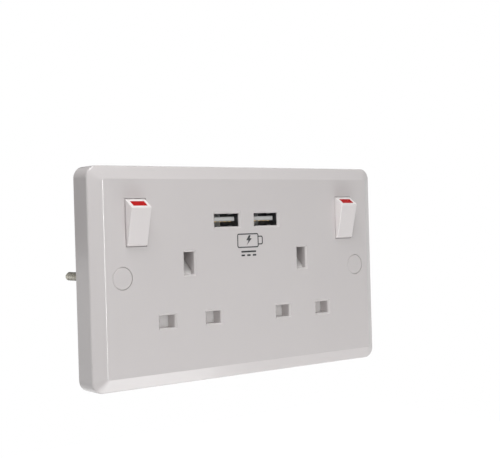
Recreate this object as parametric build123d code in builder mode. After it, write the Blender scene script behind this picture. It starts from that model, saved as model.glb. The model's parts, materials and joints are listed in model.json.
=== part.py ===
from build123d import *

import os
from math import cos, radians, sin, sqrt

# Double switched wall socket with two charging ports, in millimetres.
# X runs to the right, Z up and Y into the wall. The origin is the middle of the rear rim.
# Depths are written as heights in front of the wall: a height h lies at y = -h.

os.makedirs("parts", exist_ok=True)

SIDES = {"left": -1, "right": 1}

# Clearances
RUN_GAP = 0.2          # between sliding faces
SHAFT_GAP = 0.08       # radial, pin in hole
THREAD_GAP = 0.1       # radial, screw in a tapped or drilled hole
SEAT_GAP = 0.15        # between a loose piece and its seat
SWING_GAP = 0.3        # round a tilting piece
FIT_GAP = 0.3          # round a piece dropped into a window

# Front plate
PLATE_W = 146.0
PLATE_H = 86.0
PLATE_DEPTH = 13.0
BEVEL_W = 5.2
BEVEL_D = 3.0
CORNER_R = 4.6
FACE_CORNER_R = 1.2
EDGE_SOFTNESS = 0.5    # where the bevel meets the face
KNEE_SOFTNESS = 0.9    # where the side wall meets the bevel
FACE_T = 2.7
SIDE_T = 2.6
RIB_T = 1.4
MOUTH_CHAMFER = 0.75

FACE_BACK = PLATE_DEPTH - FACE_T
BEVEL_H = PLATE_DEPTH - BEVEL_D

# Plug pins and the openings that take them
PIN_W = 6.35
PIN_T = 4.0
PIN_LENGTH = 17.7
EARTH_PIN_W = 4.0
EARTH_PIN_H = 8.0
EARTH_PIN_LENGTH = 22.7
PIN_ROOM = 1.3         # behind the end of a pin
SIDE_PLAY = 0.7        # opening wider than its pin
POLE_PLAY = 1.0        # line or neutral opening higher than its pin
EARTH_PLAY = 0.95      # earth opening higher than its pin
OUTLET_X = 29.25
POLE_X = 11.11
POLE_Z = -17.8
EARTH_Z = 4.45
SLEEVE_DEPTH = 5.4     # from the front face to the sleeve's end
SLEEVE_WALL = 1.6

POLE_SLOT_W = PIN_W + SIDE_PLAY
POLE_SLOT_H = PIN_T + POLE_PLAY
EARTH_SLOT_W = EARTH_PIN_W + SIDE_PLAY
EARTH_SLOT_H = EARTH_PIN_H + EARTH_PLAY
SLEEVE_END = PLATE_DEPTH - SLEEVE_DEPTH

# Deck of the base, behind the shutters
DECK_SINK = 10.0       # behind the face
DECK_T = 2.4

DECK_H = PLATE_DEPTH - DECK_SINK
DECK_BACK = DECK_H - DECK_T

# Shutters
FLAG_T = 1.85
FLAG_LAP = 0.3         # closed flag beyond the edge of its opening
FLAG_CLEAR = 0.6       # open flag short of its opening
FLAG_ROUND = 0.6
STEM_W = 6.0
STEM_T = 2.45
STEM_LAP = 1.0         # stem down over the flags
RAMP_TOE = 0.6         # toe above the bottom of the earth opening
CREST_FLAT = 0.6
SPRING_PAD_W = 5.2
SPRING_PAD_T = 2.0
SPRING_PEG_R = 1.0
SPRING_PEG_L = 1.6

SHUTTER_TRAVEL = POLE_SLOT_H + FLAG_LAP + FLAG_CLEAR
SHUTTER_FRONT = SLEEVE_END - SEAT_GAP
FLAG_BACK = SHUTTER_FRONT - FLAG_T
FLAG_TOP = POLE_Z + POLE_SLOT_H / 2 + FLAG_LAP
FLAG_BOTTOM = POLE_Z - POLE_SLOT_H / 2 - FLAG_LAP
FLAG_HALF_W = POLE_X + POLE_SLOT_W / 2 + 2 * FLAG_LAP
COLLAR_END = FLAG_BACK - RUN_GAP
COLLAR_WALL = 1.5

# Shutter springs, upright below the shutters
SHUTTER_COIL_R = 1.6
SHUTTER_WIRE = 0.44
SHUTTER_COIL_TURNS = 5
SPRING_SPARE = 0.7     # left between the turns of a pressed spring
SHELF_T = 1.6
SHELF_W = 7.0

SHUTTER_SPRING_L = SHUTTER_TRAVEL + SHUTTER_COIL_TURNS * SHUTTER_WIRE + SPRING_SPARE
SHUTTER_SPRING_H = SHUTTER_FRONT - STEM_T / 2
SHELF_TOP = FLAG_BOTTOM - SHUTTER_SPRING_L

# Rockers
SWITCH_X = 53.8
SWITCH_Z = 21.1
ROCKER_OPENING_W = 9.5
ROCKER_OPENING_H = 18.6
PIVOT_SINK = 4.0       # pivot behind the face
ROCKER_SWING_DEG = 18.0
ROCKER_WALL = 1.3
ROCKER_REAR = 2.0      # rear edge behind the pivot
RIDGE_OUT = 4.7        # ridge in front of the plate's face
RIDGE_UP = 5.7         # ridge above the pivot
TOE_OUT = 1.05         # lower front corner in front of the face
BROW_OUT = 0.4         # upper front corner in front of the face
RIDGE_ROUND = 0.45
ROCKER_SOFTNESS = 0.25 # long edges of the two slopes
PIVOT_R = 1.2
PIVOT_L = 1.7
EAR_T = 1.6
EAR_H = 6.6
STEM_SIDE = 4.4
STEM_REACH = 5.6       # stem's end behind the pivot
WINDOW_W = 6.3
WINDOW_L = 3.1
WINDOW_T = 0.8

ROCKER_PIVOT_H = PLATE_DEPTH - PIVOT_SINK
ROCKER_HALF_W = ROCKER_OPENING_W / 2 - SWING_GAP
OPENING_R = sqrt((ROCKER_OPENING_H / 2) ** 2 + PIVOT_SINK ** 2)
ROCKER_R = OPENING_R - SWING_GAP
HALF_SWING_DEG = ROCKER_SWING_DEG / 2

# Plungers and their springs, inside the rocker stems
PLUNGER_R = 1.27
PLUNGER_BACK = 2.2     # spring end, behind the pivot
PLUNGER_TIP = 8.0      # tip, behind the pivot
ROCKER_COIL_R = 0.85
ROCKER_WIRE = 0.4
ROCKER_COIL_TURNS = 5
STEM_BORE_DEPTH = 9.0

# Rocking contacts
CONTACT_L = 15.4
CONTACT_W = 4.2
CONTACT_T = 0.8
CONTACT_SWING_DEG = 20.0
CONTACT_TIP_IN = 1.4   # middle of the tip in from the end of the contact
TIP_R = 1.5
TIP_T = 0.8
EDGE_R = 0.35          # rounded edge of the fulcrum
EDGE_GAP = 0.1
CONTACT_SINK = 0.2     # depth of the groove in the rocking contact

CONTACT_TIP_UP = CONTACT_L / 2 - CONTACT_TIP_IN
CONTACT_FRONT = ROCKER_PIVOT_H - PLUNGER_TIP - SEAT_GAP
CONTACT_BACK = EDGE_R + EDGE_GAP - CONTACT_SINK
FULCRUM_H = CONTACT_FRONT - CONTACT_T - CONTACT_BACK
HALF_CONTACT_SWING_DEG = CONTACT_SWING_DEG / 2

# Base moulding
BODY_R = 4.0
BODY_WALL = 1.8
SIDE_ROOM = 1.3        # beside the rocking contacts
COVER_T = 2.0
LUG_REACH = 8.3        # from the fixing screw to the inner side of the box lug
LUG_BAY_H = 16.0

BODY_TOP = SWITCH_Z + CONTACT_L / 2 + 2 * RUN_GAP + BODY_WALL
BODY_LOW = SHELF_TOP - SHELF_T
BODY_MIDDLE = (BODY_TOP + BODY_LOW) / 2
BODY_W = 2 * (SWITCH_X + CONTACT_W / 2 + SIDE_ROOM + BODY_WALL)

# Brass strips and clips
STRIP_T = 0.8
STRIP_W = 4.0
STRIP_ROOM = 2.3       # between strips that cross
LEAF_T = 0.7
CLIP_W = 5.6
CLIP_EASE = 0.7        # between a pin and the root of a leaf
CLIP_THROAT = 2.4      # mouth to throat
CLIP_NECK = 1.6        # throat to root
EARTH_THROAT = 3.4
EARTH_NECK = 2.0
EARTH_LEAF_TRIM = 0.5  # leaf shorter than the earth pin, at each end
PINCH = 0.1
MOUTH_FLARE = 1.0
LOAD_SINK = 2.9        # load strips behind the fulcrum
LOAD_TOP_W = 3.0
LOAD_LIFT = 2.2        # lower run above the clip
LOAD_ROOM = 0.65       # between a load strip and the wall beside the earth clip
ARM_ROOM = 3.2         # between a supply arm and the wall of the lug bay
BAR_ROOM = 1.7         # between the neutral bar and the wall below it
LAND_ROOM = 1.8        # between the neutral bar and the terminals it passes

# Heights are the fronts of the strips, in front of the wall
LOAD_H = FULCRUM_H - LOAD_SINK
LINE_H = LOAD_H - STRIP_T - STRIP_ROOM
POLE_WEB_H = PLATE_DEPTH - PIN_LENGTH - PIN_ROOM
EARTH_H = PLATE_DEPTH - EARTH_PIN_LENGTH - PIN_ROOM
EARTH_WALL_X = CLIP_W / 2 + FIT_GAP + BODY_WALL
LOAD_DROP_X = OUTLET_X + EARTH_WALL_X + RIB_T / 2 + LOAD_ROOM + STRIP_W / 2
LOAD_TOP_Z = SWITCH_Z + CONTACT_TIP_UP
NEUTRAL_Z = BODY_LOW + BODY_WALL + BAR_ROOM + STRIP_W / 2
LINE_Z = (EARTH_Z - EARTH_PIN_H / 2 + POLE_Z + PIN_T / 2) / 2

# Terminals along the lower edge
TERM_BORE_R = 2.3
TERM_BORE_L = 7.4
TERM_WALL = 1.5
TERM_L = 9.0
TERM_D = 9.0
TERM_CHAMFER = 0.5
EARTH_TERM_X = 7.0
CLAMP_R = 2.0
CLAMP_POINT = 0.4
CLAMP_SLOT_W = 0.9
CLAMP_SLOT_D = 0.8

TERM_X = {"neutral": -OUTLET_X, "earth_left": -EARTH_TERM_X, "earth_right": EARTH_TERM_X,
          "line": OUTLET_X}
TERM_W = 2 * (TERM_BORE_R + TERM_WALL)
TERM_FRONT = POLE_WEB_H - STRIP_T - LAND_ROOM
TERM_BORE_H = TERM_FRONT - TERM_WALL - TERM_BORE_R
TERM_MOUTH_Z = BODY_LOW + RUN_GAP
TERM_TOP_Z = TERM_MOUTH_Z + TERM_L
RIM_H = TERM_FRONT - TERM_D - 2 * RUN_GAP
COVER_BACK = RIM_H - COVER_T

# Fixing screws and caps
FIX_X = 60.3
CAP_R = 4.35
CAP_GAP = 0.1
CAP_T = 1.1
CAP_CHAMFER = 0.3
CAP_SKIRT = 3.2
CAP_SKIRT_T = 0.7
PILLAR_WALL = 1.15
HEAD_ROOM = 2.2        # between a screw head and the cap
HEAD_R = 3.3
HEAD_T = 2.3
HEAD_SLOT_W = 1.0
NECK_R = 1.5
THREAD_R = 1.75
FIX_SCREW_REACH = 30.0 # into the wall

PILLAR_R = CAP_R + CAP_GAP + PILLAR_WALL
HEAD_SEAT_H = PLATE_DEPTH - CAP_T - CAP_SKIRT - HEAD_ROOM - HEAD_T
BAY_X = FIX_X - LUG_REACH
LINE_ARM_X = BAY_X - BODY_WALL - ARM_ROOM - STRIP_W / 2

# Charging ports
PORT_X = 10.2
PORT_Z = 21.2
PORT_W = 12.3
PORT_H = 5.3
PORT_SKIN = 1.1        # plate in front of a port shell
SHELL_T = 0.35
SHELL_LAP_W = 0.1      # inside of the shell short of the mouth's edge
SHELL_LAP_H = 0.05
TAB_X = 2.9            # spring tabs left and right of a port's middle
TAB_W = 1.9
TAB_L = 3.2
TAB_RISE = 0.45
TONGUE_W = 11.1
TONGUE_T = 1.84
TONGUE_UP = 0.45
TONGUE_SINK = 2.5      # tongue's end behind the face
CORE_BLOCK_T = 3.0
PORT_LEADS = 4
LEAD_PITCH = 2.4
LEAD_W = 1.0
LEAD_T = 0.2
LEAD_SETBACK = 1.0     # behind the end of the tongue

SHELL_FRONT = PLATE_DEPTH - PORT_SKIN - SEAT_GAP
SHELL_OUT_W = PORT_W + 2 * (SHELL_T + SHELL_LAP_W)
SHELL_OUT_H = PORT_H + 2 * (SHELL_T - SHELL_LAP_H)

# Charger board and its components: width, height and depth
BOARD_SINK = 4.2       # behind the deck
BOARD_T = 1.6
BOARD_TALL = 19.0
BOARD_MARGIN = 1.5     # between a component and the board's edge
SOLDER_MARGIN = 0.4    # between a low component and the board's lower edge
PART_ROOM = 2.5        # between the transformer and its neighbours
CAN_ROOM = 1.3         # between the small capacitors
STANDOFF_R = 2.0
BOARD_SCREW_R = 0.9
BOARD_SCREW_L = 4.6
BOARD_HEAD_R = 1.7
BOARD_HEAD_T = 1.1
CORE_W, CORE_H, CORE_D = 14.0, 12.0, 7.5
CORE_UP = 8.0          # middle of the transformer below the board's upper edge
CORE_LIMB = 2.6
COIL_GAP = 0.2
COIL_T = 1.4
BIG_CAN_R, BIG_CAN_L = 4.0, 10.5
SMALL_CAN_R, SMALL_CAN_L = 2.6, 7.0
CHIP_W, CHIP_H, CHIP_D = 6.0, 4.4, 1.5
CHIP_X = 3.0
BLOCK_W, BLOCK_H, BLOCK_D = 9.0, 4.6, 5.4

BOARD_FRONT = DECK_BACK - BOARD_SINK
BOARD_BACK = BOARD_FRONT - BOARD_T
BOARD_HIGH = BODY_TOP - BODY_WALL - RUN_GAP
BOARD_LOW = BOARD_HIGH - BOARD_TALL
CORE_Z = BOARD_HIGH - CORE_UP
BIG_CAN_X = -(CORE_W / 2 + PART_ROOM + BIG_CAN_R)
BIG_CAN_Z = BOARD_HIGH - BOARD_MARGIN - BIG_CAN_R
BOARD_W = 2 * (BIG_CAN_R + BOARD_MARGIN - BIG_CAN_X)
SMALL_CAN_X = CORE_W / 2 + PART_ROOM + SMALL_CAN_R
SMALL_CAN_Z = BOARD_HIGH - BOARD_MARGIN - SMALL_CAN_R
SMALL_CAN_SPOTS = ((SMALL_CAN_X, SMALL_CAN_Z),
                   (SMALL_CAN_X, SMALL_CAN_Z - 2 * SMALL_CAN_R - CAN_ROOM))
CHIP_Z = BOARD_LOW + SOLDER_MARGIN + CHIP_H / 2
STANDOFF_X = BOARD_W / 2 - BOARD_MARGIN - STANDOFF_R
STANDOFF_Z = BOARD_LOW + BOARD_MARGIN + STANDOFF_R
BLOCK_X = 2 * FIT_GAP + BOARD_HEAD_R + BLOCK_W / 2 - STANDOFF_X
BLOCK_Z = BOARD_LOW + SOLDER_MARGIN + BLOCK_H / 2

# Assembly screws through the rear cover, base and plate bosses
POST_R = 2.9
BOSS_R = 3.1
POST_INSET = 4.0       # from the upper and lower edges of the base
POST_ROOM = 2.4        # between a lower boss and the shutter's flag
BOARD_POST_ROOM = 3.1  # between an upper post and the charger board
JOIN_SCREW_R = 1.3
JOIN_HEAD_R = 2.5
JOIN_HEAD_T = 1.6
JOIN_SLOT_W = 0.8
JOIN_SLOT_L = 3.2
JOIN_REACH = 5.0       # bite into the plate's boss

JOIN_HOLE_R = JOIN_SCREW_R + THREAD_GAP
POST_HIGH_X = BOARD_W / 2 + BOARD_POST_ROOM + POST_R
POST_LOW_X = OUTLET_X + FLAG_HALF_W + POST_ROOM + BOSS_R
POST_SPOTS = ((-POST_HIGH_X, BODY_TOP - POST_INSET), (POST_HIGH_X, BODY_TOP - POST_INSET),
              (-POST_LOW_X, BODY_LOW + POST_INSET), (POST_LOW_X, BODY_LOW + POST_INSET))


def wall_plane(h, x=0.0, z=0.0):
    """Plane parallel to the wall at height h, looking out of the wall, centred on x and z."""
    return Plane(origin=(x, -h, z), x_dir=(1, 0, 0), z_dir=(0, -1, 0))


def side_plane(x, h, z):
    """Plane across X with its first axis out of the wall and its second axis up."""
    return Plane(origin=(x, -h, z), x_dir=(0, -1, 0), z_dir=(-1, 0, 0))


def level_plane(z, x=0.0):
    """Level plane at z, whose second axis points out of the wall and whose normal points down."""
    return Plane(origin=(x, 0, z), x_dir=(1, 0, 0), z_dir=(0, 0, -1))


def slab(front, back, width, height, x=0.0, z=0.0, mode=Mode.ADD):
    """Rectangular slab between two heights, added to the part being built."""
    with BuildSketch(wall_plane(back, x, z)) as outline:
        Rectangle(width, height)
    extrude(outline.sketch, amount=front - back, mode=mode)


def rod(front, back, radius, x, z, mode=Mode.ADD):
    """Round rod square to the wall between two heights."""
    with BuildSketch(wall_plane(back, x, z)) as outline:
        Circle(radius)
    extrude(outline.sketch, amount=front - back, mode=mode)


def span(front, back, x1, x2, z1, z2, mode=Mode.ADD):
    """Rectangular slab given by its edges."""
    slab(front, back, abs(x2 - x1), abs(z2 - z1), (x1 + x2) / 2, (z1 + z2) / 2, mode)


def pole_places():
    """Middle of each of the four line and neutral openings."""
    return [(s * OUTLET_X + p * POLE_X, POLE_Z) for s in (-1, 1) for p in (-1, 1)]


def make_front_plate():
    """Bevelled hollow plate with its openings, pillars, bosses, sleeves, ribs and rocker ears."""
    with BuildPart() as plate:
        with BuildSketch(wall_plane(0)):
            RectangleRounded(PLATE_W, PLATE_H, CORNER_R)
        extrude(amount=BEVEL_H)
        with BuildSketch(wall_plane(BEVEL_H)):
            RectangleRounded(PLATE_W, PLATE_H, CORNER_R)
        with BuildSketch(wall_plane(PLATE_DEPTH)):
            RectangleRounded(PLATE_W - 2 * BEVEL_W, PLATE_H - 2 * BEVEL_W, FACE_CORNER_R)
        loft()
        fillet(plate.faces().sort_by(Axis.Y)[0].outer_wire().edges(), EDGE_SOFTNESS)
        knee = plate.edges().filter_by_position(Axis.Y, -BEVEL_H - 0.01, -BEVEL_H + 0.01)
        fillet(knee, KNEE_SOFTNESS)

        cavity_w, cavity_h = PLATE_W - 2 * SIDE_T, PLATE_H - 2 * SIDE_T
        cavity_knee = BEVEL_H - FACE_T
        with BuildSketch(wall_plane(0)):
            RectangleRounded(cavity_w, cavity_h, CORNER_R / 2)
        extrude(amount=cavity_knee, mode=Mode.SUBTRACT)
        with BuildSketch(wall_plane(cavity_knee)):
            RectangleRounded(cavity_w, cavity_h, CORNER_R / 2)
        with BuildSketch(wall_plane(FACE_BACK)):
            RectangleRounded(cavity_w - 2 * BEVEL_W, cavity_h - 2 * BEVEL_W, CORNER_R / 2)
        loft(mode=Mode.SUBTRACT)

        for s in SIDES.values():
            rod(FACE_BACK, 0, PILLAR_R, s * FIX_X, 0)
            for ear in (-1, 1):
                ear_x = s * SWITCH_X + ear * (ROCKER_OPENING_W / 2 + EAR_T / 2)
                ear_end = ROCKER_PIVOT_H - PIVOT_R - EAR_T
                slab(FACE_BACK, ear_end, EAR_T, EAR_H, ear_x, SWITCH_Z)
            guide_x = STEM_W / 2 + RUN_GAP + RIB_T / 2
            for rib in (-1, 1):
                top = EARTH_Z + EARTH_SLOT_H / 2 + RIB_T
                span(FACE_BACK, DECK_H + SEAT_GAP, s * OUTLET_X + rib * guide_x - RIB_T / 2,
                     s * OUTLET_X + rib * guide_x + RIB_T / 2, POLE_Z / 2, top)
            slab(FACE_BACK, SLEEVE_END, 2 * guide_x, RIB_T, s * OUTLET_X,
                 EARTH_Z + EARTH_SLOT_H / 2 + RIB_T / 2)
        for x, z in POST_SPOTS:
            rod(FACE_BACK, DECK_H, BOSS_R, x, z)
        for x, z in pole_places():
            slab(FACE_BACK, SLEEVE_END, POLE_SLOT_W + 2 * SLEEVE_WALL,
                 POLE_SLOT_H + 2 * SLEEVE_WALL, x, z)
        for s in SIDES.values():
            for rib_z in (-1, 1):
                z = PORT_Z + rib_z * (SHELL_OUT_H / 2 + FIT_GAP + RIB_T / 2)
                slab(FACE_BACK, BEVEL_H - 2 * RIB_T, SHELL_OUT_W, RIB_T, s * PORT_X, z)

        for x, z in pole_places():
            slab(PLATE_DEPTH, SLEEVE_END, POLE_SLOT_W, POLE_SLOT_H, x, z, Mode.SUBTRACT)
            cut_mouth(x, z, POLE_SLOT_W, POLE_SLOT_H)
        for s in SIDES.values():
            x = s * OUTLET_X
            slab(PLATE_DEPTH, FACE_BACK, EARTH_SLOT_W, EARTH_SLOT_H, x, EARTH_Z, Mode.SUBTRACT)
            cut_mouth(x, EARTH_Z, EARTH_SLOT_W, EARTH_SLOT_H)
            x = s * PORT_X
            slab(PLATE_DEPTH, FACE_BACK, PORT_W, PORT_H, x, PORT_Z, Mode.SUBTRACT)
            slab(PLATE_DEPTH - PORT_SKIN, FACE_BACK, SHELL_OUT_W + 2 * FIT_GAP,
                 SHELL_OUT_H + 2 * FIT_GAP, x, PORT_Z, Mode.SUBTRACT)
            cut_mouth(x, PORT_Z, PORT_W, PORT_H)
            x = s * SWITCH_X
            with BuildSketch(side_plane(x, ROCKER_PIVOT_H, SWITCH_Z)):
                Circle(OPENING_R)
                with Locations((PIVOT_SINK + OPENING_R / 2, 0)):
                    Rectangle(OPENING_R, 2 * OPENING_R, mode=Mode.SUBTRACT)
            extrude(amount=ROCKER_OPENING_W / 2, both=True, mode=Mode.SUBTRACT)
            with BuildSketch(side_plane(x, ROCKER_PIVOT_H, SWITCH_Z)):
                Circle(PIVOT_R + SHAFT_GAP)
            extrude(amount=ROCKER_OPENING_W / 2 + EAR_T, both=True, mode=Mode.SUBTRACT)
            rod(PLATE_DEPTH, HEAD_SEAT_H, CAP_R + CAP_GAP, s * FIX_X, 0, Mode.SUBTRACT)
            rod(HEAD_SEAT_H, 0, THREAD_R + FIT_GAP, s * FIX_X, 0, Mode.SUBTRACT)
        for x, z in POST_SPOTS:
            rod(DECK_H + JOIN_REACH + FIT_GAP, DECK_H, JOIN_HOLE_R, x, z, Mode.SUBTRACT)
    return plate.part


def cut_mouth(x, z, width, height):
    """Chamfered mouth round an opening in the plate's face."""
    with BuildSketch(wall_plane(PLATE_DEPTH, x, z)) as outline:
        Rectangle(width + 2 * MOUTH_CHAMFER, height + 2 * MOUTH_CHAMFER)
    extrude(outline.sketch, amount=-MOUTH_CHAMFER, taper=45, mode=Mode.SUBTRACT)


def body_outline(shrink=0.0):
    """Outline of the base, with a bay each side for the lug of the wall box."""
    RectangleRounded(BODY_W - 2 * shrink, BODY_TOP - BODY_LOW - 2 * shrink, BODY_R - shrink)
    bay_start = BAY_X - shrink
    for s in SIDES.values():
        with Locations((s * (bay_start + BODY_W / 2) / 2, -BODY_MIDDLE)):
            Rectangle(BODY_W / 2 - bay_start, LUG_BAY_H + 2 * shrink, mode=Mode.SUBTRACT)


def make_base():
    """Moulded body that holds the contacts, closed in front by a deck and open behind."""
    with BuildPart() as base:
        with BuildSketch(wall_plane(RIM_H, z=BODY_MIDDLE)):
            body_outline()
        extrude(amount=DECK_H - RIM_H)
        with BuildSketch(wall_plane(RIM_H, z=BODY_MIDDLE)):
            body_outline(BODY_WALL)
        extrude(amount=DECK_BACK - RIM_H, mode=Mode.SUBTRACT)

        for x, z in POST_SPOTS:
            rod(DECK_BACK, RIM_H, POST_R, x, z)
        for x, z in pole_places():
            slab(COLLAR_END, DECK_H, POLE_SLOT_W + 2 * COLLAR_WALL,
                 POLE_SLOT_H + 2 * COLLAR_WALL, x, z)
        for s in SIDES.values():
            shelf_front = SHUTTER_SPRING_H + SHUTTER_COIL_R + SHUTTER_WIRE
            slab(shelf_front, DECK_H, SHELF_W, SHELF_T, s * OUTLET_X, SHELF_TOP - SHELF_T / 2)
            rod(DECK_BACK, BOARD_FRONT, STANDOFF_R, s * STANDOFF_X, STANDOFF_Z)
            rail_x = s * (BOARD_W / 2 + FIT_GAP + RIB_T / 2)
            span(DECK_BACK, BOARD_BACK, rail_x - RIB_T / 2, rail_x + RIB_T / 2,
                 BOARD_LOW, BODY_TOP - BODY_WALL)
            for p in (-1, 1):
                wall_x = s * OUTLET_X + p * EARTH_WALL_X
                span(DECK_BACK, EARTH_H + 2 * STRIP_T, wall_x - RIB_T / 2, wall_x + RIB_T / 2,
                     EARTH_Z - CLIP_W / 2, EARTH_Z + CLIP_W / 2)

        for x, z in pole_places():
            slab(COLLAR_END, DECK_BACK, POLE_SLOT_W, POLE_SLOT_H, x, z, Mode.SUBTRACT)
        for s in SIDES.values():
            slab(DECK_H, DECK_BACK, EARTH_SLOT_W, EARTH_SLOT_H, s * OUTLET_X, EARTH_Z,
                 Mode.SUBTRACT)
            slab(DECK_H, DECK_BACK, CONTACT_W + 4 * FIT_GAP, CONTACT_L + 6 * FIT_GAP,
                 s * SWITCH_X, SWITCH_Z, Mode.SUBTRACT)
            slab(DECK_H, DECK_BACK, SHELL_OUT_W + 2 * FIT_GAP, SHELL_OUT_H + 2 * FIT_GAP,
                 s * PORT_X, PORT_Z, Mode.SUBTRACT)
            rod(BOARD_BACK + BOARD_SCREW_L + FIT_GAP, BOARD_FRONT, BOARD_SCREW_R + THREAD_GAP,
                s * STANDOFF_X, STANDOFF_Z, Mode.SUBTRACT)
        for x, z in POST_SPOTS:
            rod(DECK_H, RIM_H, JOIN_HOLE_R, x, z, Mode.SUBTRACT)
        for x in TERM_X.values():
            span(TERM_FRONT + FIT_GAP, RIM_H, x - TERM_W / 2 - FIT_GAP,
                 x + TERM_W / 2 + FIT_GAP, BODY_LOW, BODY_LOW + BODY_WALL, Mode.SUBTRACT)
    return base.part


def make_rear_cover():
    """Flat cover that closes the base, with holes for the clamp and assembly screws."""
    with BuildPart() as cover:
        with BuildSketch(wall_plane(COVER_BACK, z=BODY_MIDDLE)):
            body_outline()
        extrude(amount=COVER_T)
        for x in TERM_X.values():
            z = TERM_MOUTH_Z + TERM_L / 2
            rod(RIM_H, COVER_BACK, CLAMP_R + 3 * FIT_GAP, x, z, Mode.SUBTRACT)
        for x, z in POST_SPOTS:
            rod(RIM_H, COVER_BACK, JOIN_HOLE_R, x, z, Mode.SUBTRACT)
    return cover.part


def rocker_outline():
    """Side view of a rocker about its pivot, with its lower half pressed in."""
    def on_arc(u, up):
        return (u, up * sqrt(ROCKER_R ** 2 - u ** 2))

    toe = on_arc(PIVOT_SINK + TOE_OUT, -1)
    ridge = (PIVOT_SINK + RIDGE_OUT, RIDGE_UP)
    brow = on_arc(PIVOT_SINK + BROW_OUT, 1)
    rear_top = on_arc(-ROCKER_REAR, 1)
    rear_low = on_arc(-ROCKER_REAR, -1)
    Line(toe, ridge)
    Line(ridge, brow)
    ThreePointArc(brow, on_arc((brow[0] - ROCKER_REAR) / 2, 1), rear_top)
    Line(rear_top, rear_low)
    ThreePointArc(rear_low, on_arc((toe[0] - ROCKER_REAR) / 2, -1), toe)


def stem_plane(x):
    """Plane at the rocker's pivot, square to the stem, which points rearwards and upwards."""
    tilt = radians(HALF_SWING_DEG)
    return Plane(origin=(x, -ROCKER_PIVOT_H, SWITCH_Z), x_dir=(1, 0, 0),
                 z_dir=(0, cos(tilt), sin(tilt)))


def window_plane(x):
    """Plane on the rocker's upper slope, centred on its coloured window."""
    ridge = Vector(PIVOT_SINK + RIDGE_OUT, RIDGE_UP)
    brow_u = PIVOT_SINK + BROW_OUT
    brow = Vector(brow_u, sqrt(ROCKER_R ** 2 - brow_u ** 2))
    middle = (ridge + brow) / 2
    slope = (brow - ridge).normalized()
    origin = (x, -ROCKER_PIVOT_H - middle.X, SWITCH_Z + middle.Y)
    return Plane(origin=origin, x_dir=(1, 0, 0), z_dir=(0, -slope.Y, -slope.X))


def make_rocker(x):
    """Hollow rocker with its pivots, its spring stem and the pocket for the window."""
    with BuildPart() as rocker:
        with BuildSketch(side_plane(x, ROCKER_PIVOT_H, SWITCH_Z)):
            with BuildLine():
                rocker_outline()
            make_face()
        extrude(amount=ROCKER_HALF_W, both=True)
        ridge = rocker.edges().filter_by(Axis.X).sort_by(Axis.Y)[0]
        fillet(ridge, RIDGE_ROUND)
        proud = rocker.edges().filter_by_position(Axis.Y, -PLATE_DEPTH - RIDGE_OUT,
                                                  -PLATE_DEPTH - TOE_OUT)
        fillet(proud - rocker.edges().filter_by(Axis.X), ROCKER_SOFTNESS)
        with BuildSketch(side_plane(x, ROCKER_PIVOT_H, SWITCH_Z)):
            with BuildLine():
                rocker_outline()
            make_face()
            offset(amount=-ROCKER_WALL, kind=Kind.INTERSECTION, mode=Mode.REPLACE)
            with Locations((-ROCKER_REAR, 0)):
                Rectangle(4 * ROCKER_WALL, 2 * (ROCKER_R - ROCKER_WALL - SWING_GAP))
        extrude(amount=ROCKER_HALF_W - ROCKER_WALL, both=True, mode=Mode.SUBTRACT)
        with BuildSketch(stem_plane(x).offset(-PIVOT_SINK - RIDGE_OUT / 2)):
            Rectangle(STEM_SIDE, STEM_SIDE)
        extrude(amount=PIVOT_SINK + RIDGE_OUT / 2 + STEM_REACH)
        with BuildSketch(side_plane(x, ROCKER_PIVOT_H, SWITCH_Z)):
            Circle(PIVOT_R)
        extrude(amount=ROCKER_HALF_W + PIVOT_L, both=True)
        with BuildSketch(stem_plane(x).offset(STEM_REACH)):
            Circle(PLUNGER_R + SHAFT_GAP)
        extrude(amount=-STEM_BORE_DEPTH, mode=Mode.SUBTRACT)
        with BuildSketch(window_plane(x)):
            Rectangle(WINDOW_W, WINDOW_L)
        extrude(amount=-WINDOW_T, mode=Mode.SUBTRACT)
    return rocker.part


def make_window(x):
    """Coloured insert let into the rocker's upper slope."""
    with BuildPart() as window:
        with BuildSketch(window_plane(x)):
            Rectangle(WINDOW_W, WINDOW_L)
        extrude(amount=-WINDOW_T)
    return window.part


def make_plunger(x):
    """Round-nosed plunger that slides in the rocker's stem."""
    with BuildPart() as plunger:
        nose = PLUNGER_TIP - PLUNGER_R
        with BuildSketch(stem_plane(x).offset(PLUNGER_BACK)):
            Circle(PLUNGER_R)
        extrude(amount=nose - PLUNGER_BACK)
        with Locations(stem_plane(x).offset(nose)):
            Sphere(PLUNGER_R)
    return plunger.part


def make_coil(plane, length, radius, wire, turns):
    """Open wire spring standing on a plane."""
    height = length - wire
    with BuildPart() as coil:
        with BuildLine():
            path = Helix(pitch=height / turns, height=height, radius=radius,
                         center=plane.offset(wire / 2).origin, direction=plane.z_dir)
        with BuildSketch(Plane(origin=path @ 0, z_dir=path % 0)):
            RegularPolygon(wire / 2, 6)
        sweep(is_frenet=True)
    return coil.part


def make_rocker_spring(x):
    """Spring between the bottom of the rocker's bore and the plunger."""
    length = STEM_BORE_DEPTH - STEM_REACH + PLUNGER_BACK
    return make_coil(stem_plane(x).offset(STEM_REACH - STEM_BORE_DEPTH), length,
                     ROCKER_COIL_R, ROCKER_WIRE, ROCKER_COIL_TURNS)


def contact_plane(x):
    """Plane of the rocking contact's fulcrum edge: first axis out of the wall, second along it."""
    tilt = radians(HALF_CONTACT_SWING_DEG)
    return Plane(origin=(x, -FULCRUM_H, SWITCH_Z), x_dir=(0, -cos(tilt), sin(tilt)),
                 z_dir=(-1, 0, 0))


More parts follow.
